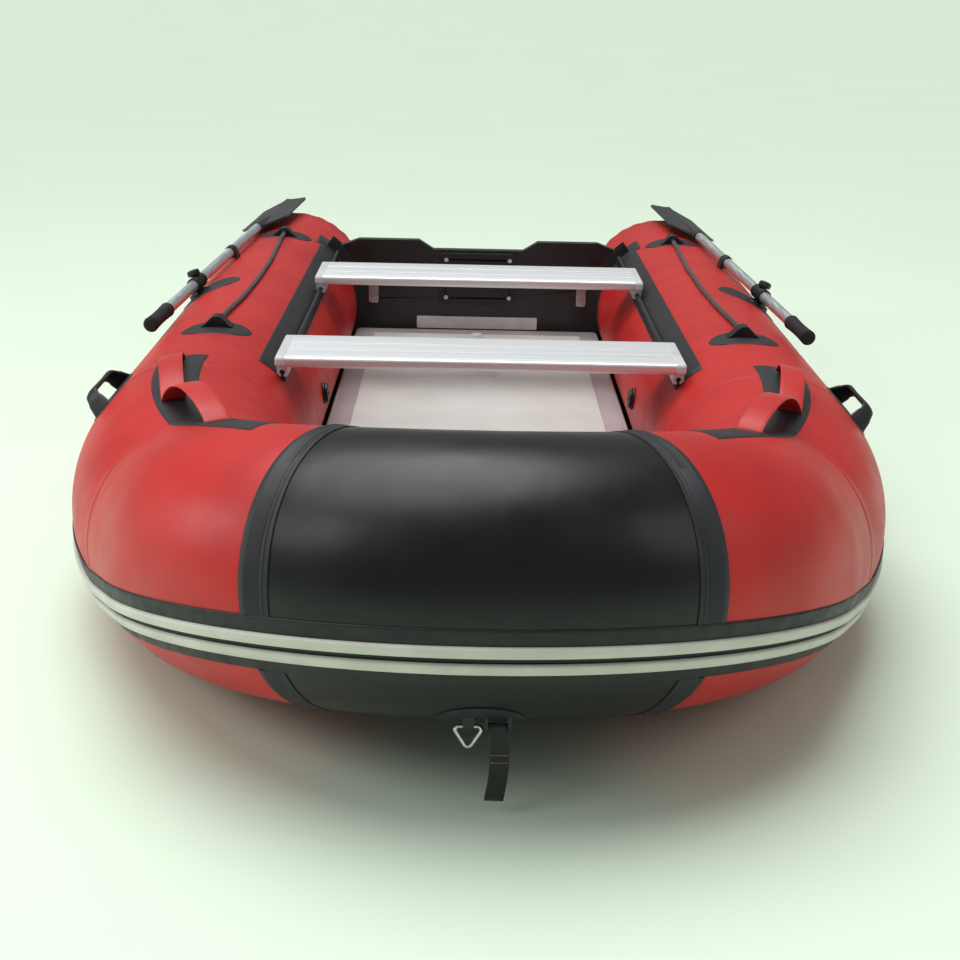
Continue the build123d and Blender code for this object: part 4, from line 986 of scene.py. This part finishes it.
def addPatches():
    makePiece("grabPatches", bothSides(crescentPatch()), slatePvc, "black_pvc", ["grab_patches"])
    makePiece("grabStraps", bothSides(grabStrap()), redStrap, "red_pvc", ["grab_straps"], sharp=60)
    bases = merged(grabBase(*grab["anchors"][0]), grabBase(*grab["anchors"][-1]))
    makePiece("grabStrapBases", bothSides(bases), slatePvc, "black_pvc")
    makePiece("tubePatches", bothSides(merged(*[ovalPatch(*o) for o in ovals])), slatePvc, "black_pvc",
              ["tube_patches"])
    makePiece("sideHandles", bothSides(sideHandle()), blackPlastic, "black_plastic", ["side_handles"],
              sharp=50)


def lifelineHolder(y, angle, facing):
    # moulded eye pad: a triangular body with a rim where the rope goes in
    station = stationOf(y)
    origin, normal = onHull(station, angle), hullNormal(station, angle)
    forward = hullFrame(station)[1]
    across = normal.cross(forward).normalized()
    place = placeIn(origin, across, normal, forward)
    side = [(0.034, 0.0004), (0.026, 0.005), (0.0145, 0.017), (0.009, 0.0215)]
    outline = side + [(0.004, 0.0235), (-0.004, 0.0235)] + [(-x, z) for x, z in reversed(side)]
    body = prism(outline, place, -0.016, 0.016)
    end = Vector(lifeline["route"][0 if facing > 0 else -1])
    profile = [(0.0062, -0.012), (0.0086, -0.004), (0.0086, 0.002), (0.0072, 0.0035), (0.0056, 0.0035)]
    collar = lathe(profile, end, (0, facing, 0), 24)
    return merged(body, collar)


def addHolders():
    mesh = merged(lifelineHolder(-0.208, 90, 1), lifelineHolder(0.872, 93, -1))
    makePiece("lifelineHolders", bothSides(mesh), blackPlastic, "black_plastic", ["lifeline_holders"],
              ease=0.0008)


addPatches()
addHolders()
print("patches, straps and handles fitted")


blade = {
    "start": 0.66, "length": 0.43, "half": 0.07, "thick": 0.00168, "rows": 60, "across": 20,
    "neck": 0.09, "neckHalf": 0.018, "tip": 0.8, "spine": 0.0030, "spineHalf": 0.009, "cup": 0.007,
    "rib": 0.0009, "ribAt": 0.55, "ribHalf": 0.05, "ribs": (0.1, 0.39),
}
oar = {
    "lock": (0.689, 0.27, 0.409), "pinTilt": 70, "stowRun": -0.094, "shaft": 0.013, "gripEnd": -0.395,
    "gripLength": 0.135, "grip": 0.017, "ridge": 0.0009, "waist": 0.0018,
    "collar": 0.0175, "collarLength": 0.07, "rings": 7,
}
pin = Vector((cos(radians(oar["pinTilt"])), 0, sin(radians(oar["pinTilt"]))))
oarAlong = Vector((oar["stowRun"], 1, 0))
oarAlong = (oarAlong - pin * oarAlong.dot(pin)).normalized()
lockPoint = Vector(oar["lock"])
atOar = placeIn(lockPoint, oarAlong, pin.cross(oarAlong), pin)


def gripMesh():
    start, length, r = oar["gripEnd"], oar["gripLength"], oar["grip"]
    profile = [(0.004, start), (r - 0.005, start), (r, start + 0.004)]
    for k in range(1, 40):
        t = k / 40
        ridge = oar["ridge"] * ((sin(t * pi * 22) > 0.2) * (0.12 < t < 0.9) - 1)
        profile.append((r - oar["waist"] * sin(pi * t) + ridge, start + 0.004 + (length - 0.008) * t))
    end = start + length
    profile += [(r, end - 0.004), (r - 0.002, end), (oar["shaft"] - 0.001, end)]
    return lathe(profile, lockPoint, oarAlong, 40)


def collarMesh():
    # rubber sleeve with raised rings that stop the oar sliding through the lock
    half, r = oar["collarLength"] / 2, oar["collar"]
    profile = [(oar["shaft"] - 0.001, -half)]
    step = 2 * half / oar["rings"]
    for k in range(oar["rings"]):
        start = -half + step * k
        ringEdge = [(r - 0.0026, start + 0.0004)]
        for down, share in ((0.0004, 0.18), (0.0, 0.3), (0.0, 0.62), (0.0004, 0.74), (0.0026, 0.96)):
            ringEdge.append((r - down, start + share * step))
        profile += ringEdge
    return lathe(profile + [(oar["shaft"] - 0.001, half)], lockPoint, oarAlong, 40)


def bladeMesh():
    start, length, half, neck = blade["start"], blade["length"], blade["half"], blade["neck"]
    loops = []
    for row in shares(blade["rows"]):
        x = length * sin(row * pi / 2) ** 0.9
        if x < neck:
            t = x / neck
            width = blade["neckHalf"] + (half - blade["neckHalf"]) * t * t * (3 - 2 * t)
        else:
            t = (x - neck) / (length - neck)
            width = half * sqrt(max(1 - (max(t - blade["tip"], 0) / 0.205) ** 2.6, 0.03))
        top, low = [], []
        for share in shares(blade["across"]):
            v = 2 * share - 1
            spine = blade["spine"] * exp(-(v * width / blade["spineHalf"]) ** 2)
            ribs = sum(exp(-((v - c) / blade["ribHalf"]) ** 2) for c in (-blade["ribAt"], blade["ribAt"]))
            ribs *= blade["ribs"][0] < x < blade["ribs"][1]
            face = blade["thick"] + spine + blade["rib"] * (ribs + (abs(v) > 0.9))
            cup = -blade["cup"] * v * v * min(x / 0.12, 1)
            top.append(atOar(start + x, v * width, cup + face))
            low.append(atOar(start + x, v * width, cup - face))
        loops.append(top + low[::-1])
    r = oar["shaft"] + 0.003
    steps = [(oar["shaft"] - 0.001, 0), (r, 0.002), (r, 0.05), (r - 0.003, 0.09), (0.008, 0.15),
             (0.003, 0.20)]
    socket = lathe([(radius, start + place) for radius, place in steps], lockPoint, oarAlong, 32)
    return merged(loft(loops), socket)


def addOars():
    shaft = lathe([(oar["shaft"], oar["gripEnd"] + 0.01), (oar["shaft"], blade["start"] + 0.05)],
                  lockPoint, oarAlong, 48)
    parts = (("Shaft", "oar_shaft", shaft, oarAluminium, "oar_aluminium"),
             ("Grip", "oar_grip", gripMesh(), gripFoam, "black_plastic"),
             ("Collar", "oar_collar", collarMesh(), blackRubber, "black_rubber"),
             ("Blade", "oar_blade", bladeMesh(), bladePlastic, "black_plastic"))
    for side in ("port", "starboard"):
        for label, node, mesh, material, slot in parts:
            makePiece(side + "Oar" + label, mesh if side == "port" else mirrored(mesh), material, slot,
                      [f"{side}_{node}"], body=side + "_oar")
    base = lathe([(0.031, -0.050), (0.031, -0.0285), (0.029, -0.0265), (0.025, -0.0255), (0.0215, -0.0185),
                  (0.0195, -0.0178)], lockPoint, pin, 48, lobes=6, depth=0.0016)
    neck = lathe([(0.006, -0.0190), (0.006, 0.0185)], lockPoint, pin, 24)
    makePiece("oarlockBases", bothSides(merged(base, neck)), blackPlastic, "black_plastic",
              ["oarlock_bases"])
    knob = lathe([(0.0075, 0.0178), (0.0145, 0.0178), (0.0160, 0.0200), (0.0160, 0.0270), (0.0140, 0.0305),
                  (0.0090, 0.0318), (0.0040, 0.0318)], lockPoint, pin, 64, lobes=10, depth=0.0014)
    makePiece("oarlockKnobs", bothSides(knob), blackPlastic, "black_plastic", ["oarlock_knobs"])
    dress("oar_clips", blackPlastic, 0.0006)


addOars()
print("oars stowed")


tow = {"pin": (-1.4141, 0.1446), "ringX": -0.018, "wire": 0.003, "half": 0.023, "height": 0.038,
       "round": 0.006, "strapX": 0.024, "strapWidth": 0.028, "strapLength": 0.118, "pinRadius": 0.003,
       "strapThick": 0.0026, "stitches": (0.0028, 0.012, 0.045)}


def ringMesh():
    y, z = tow["pin"]
    corners = [(-tow["half"], 0), (tow["half"], 0), (0, -tow["height"])]
    path = []
    for k in range(3):
        before, corner, after = (Vector(corners[(k + j) % 3]) for j in (-1, 0, 1))
        toBefore, toAfter = (before - corner).normalized(), (after - corner).normalized()
        half = toBefore.angle(toAfter) / 2
        centre = corner + (toBefore + toAfter).normalized() * tow["round"] / sin(half)
        first = corner + toBefore * tow["round"] / (sin(half) / cos(half))
        last = corner + toAfter * tow["round"] / (sin(half) / cos(half))
        a, b = atan2(*(first - centre).yx), atan2(*(last - centre).yx)
        turn = (b - a + pi) % (2 * pi) - pi
        for j in range(13):
            angle = a + turn * j / 12
            path.append(centre + Vector((cos(angle), sin(angle))) * tow["round"])
    loops = []
    for k, point in enumerate(path):
        along = (path[(k + 1) % len(path)] - path[k - 1]).normalized()
        side = Vector((along.y, -along.x))
        loop = []
        for t in ringTurns(20):
            spot = point + side * cos(t) * tow["wire"]
            loop.append(Vector((tow["ringX"] + spot.x, y + sin(t) * tow["wire"], z + spot.y)))
        loops.append(loop)
    return loft(loops, ring=True)


def bowStrapMesh():
    # webbing loop over its pin, stitched a third of the way down, its end turned up
    y, z = tow["pin"]
    r, length = tow["pinRadius"] + hull["gap"], tow["strapLength"]
    path, ups = [], []

    def lean(t):
        # it hangs with a slight set from being folded
        return 0.005 * sin(pi * t) - 0.003 * t

    for k in range(9):
        a = pi * k / 8
        path.append(Vector((tow["strapX"], y + r * cos(a), z + r * sin(a))))
        ups.append(Vector((0, cos(a), sin(a))))
    down = shares(18)[1:]
    for side, line in ((-1, down), (1, down[::-1])):
        for t in line:
            apart = r - (r - 0.0004) * min(3 * t, 1)
            path.append(Vector((tow["strapX"] + lean(t), y + side * apart, z - length * t)))
            ups.append(Vector((0, side, 0)))
        if side < 0:
            path.append(Vector((tow["strapX"] + lean(1), y, z - length - 0.0006)))
            ups.append(Vector((0, 0, -1)))
    return ribbon(path, ups, strapSection(tow["strapWidth"], tow["strapThick"], 0.0003), ring=True)


def strapStitches():
    # two rows of stitches that close the loop below its pin
    y, z = tow["pin"]
    pitch, rowGap, drop = tow["stitches"]
    stitch = [(0.0001, -0.0011), (0.0005, -0.0008), (0.0005, 0.0008), (0.0001, 0.0011)]
    loops = []
    for row in range(2):
        for k in range(-4, 5):
            for side in (-1, 1):
                place = (tow["strapX"] + k * pitch + 0.0025, y + side * (tow["strapThick"] + 0.0005),
                         z - drop - rowGap * row)
                loops.append(lathe(stitch, place, (1, 0, 0), 8))
    return merged(*loops)


def addTow():
    makePiece("bowStrapStitches", strapStitches(), edgePvc, "webbing", body="bow_strap", sharp=180)
    makePiece("towRing", ringMesh(), stainless, "stainless", ["tow_ring"], body="tow_ring", sharp=180)
    makePiece("bowStrap", bowStrapMesh(), webbing, "webbing", ["bow_strap"], body="bow_strap", sharp=60)
    dress("tow_patch", slatePvc, 0.0004)
    dress("tow_anchor", blackPlastic, 0.0008)


addTow()
print("tow point hung")


studio = {
    "floor": "#dff0dd", "world": "#f1f5f0", "worldStrength": 0.3, "reach": 600,
    "sun": 2.3, "softness": 55, "sunTilt": (-14, -12, 0),
    # each lamp's name, place, target, size and power
    "lamps": (("key", (-2.8, -2.6, 2.8), (0, -0.6, 0.3), 1.8, 22),
              ("fill", (3.2, -2.0, 2.6), (0, -0.4, 0.3), 2.2, 14),
              ("side", (-4.2, -0.9, 1.9), (-0.6, -0.9, 0.45), 1.6, 34),
              ("top", (0.0, 0.6, 4.2), (0, 0.2, 0.2), 3.2, 20)),
}


def addStudio():
    floor = newMaterial("paintedFloor", studio["floor"], {"Roughness": 0.75, "IOR": 1.4})
    tint(floor, speckle(floor, 900, 2), "#deefdc", "#e0f1de")
    mesh = bpy.data.meshes.new("floor")
    reach = studio["reach"]
    mesh.from_pydata([(-reach, -reach, 0), (reach, -reach, 0), (reach, reach, 0), (-reach, reach, 0)], [],
                     [(0, 1, 2, 3)])
    mesh.materials.append(floor)
    addObject("floor", mesh)
    world = bpy.data.worlds.new("studio")
    world.use_nodes = True
    back = world.node_tree.nodes["Background"]
    back.inputs["Color"].default_value = toLinear(studio["world"])
    back.inputs["Strength"].default_value = studio["worldStrength"]
    bpy.context.scene.world = world
    bpy.context.scene.view_settings.view_transform = "Standard"
    sun = addObject("soft sun", bpy.data.lights.new("soft sun", "SUN"))
    sun.data.energy, sun.data.angle = studio["sun"], radians(studio["softness"])
    sun.rotation_euler = [radians(angle) for angle in studio["sunTilt"]]
    for name, place, target, size, power in studio["lamps"]:
        data = bpy.data.lights.new(name, "AREA")
        data.shape, data.size, data.energy = "DISK", size, power
        lamp = addObject(name, data)
        lamp.location = place
        lamp.rotation_euler = (Vector(target) - Vector(place)).to_track_quat("-Z", "Y").to_euler()


addStudio()
print("studio lit")
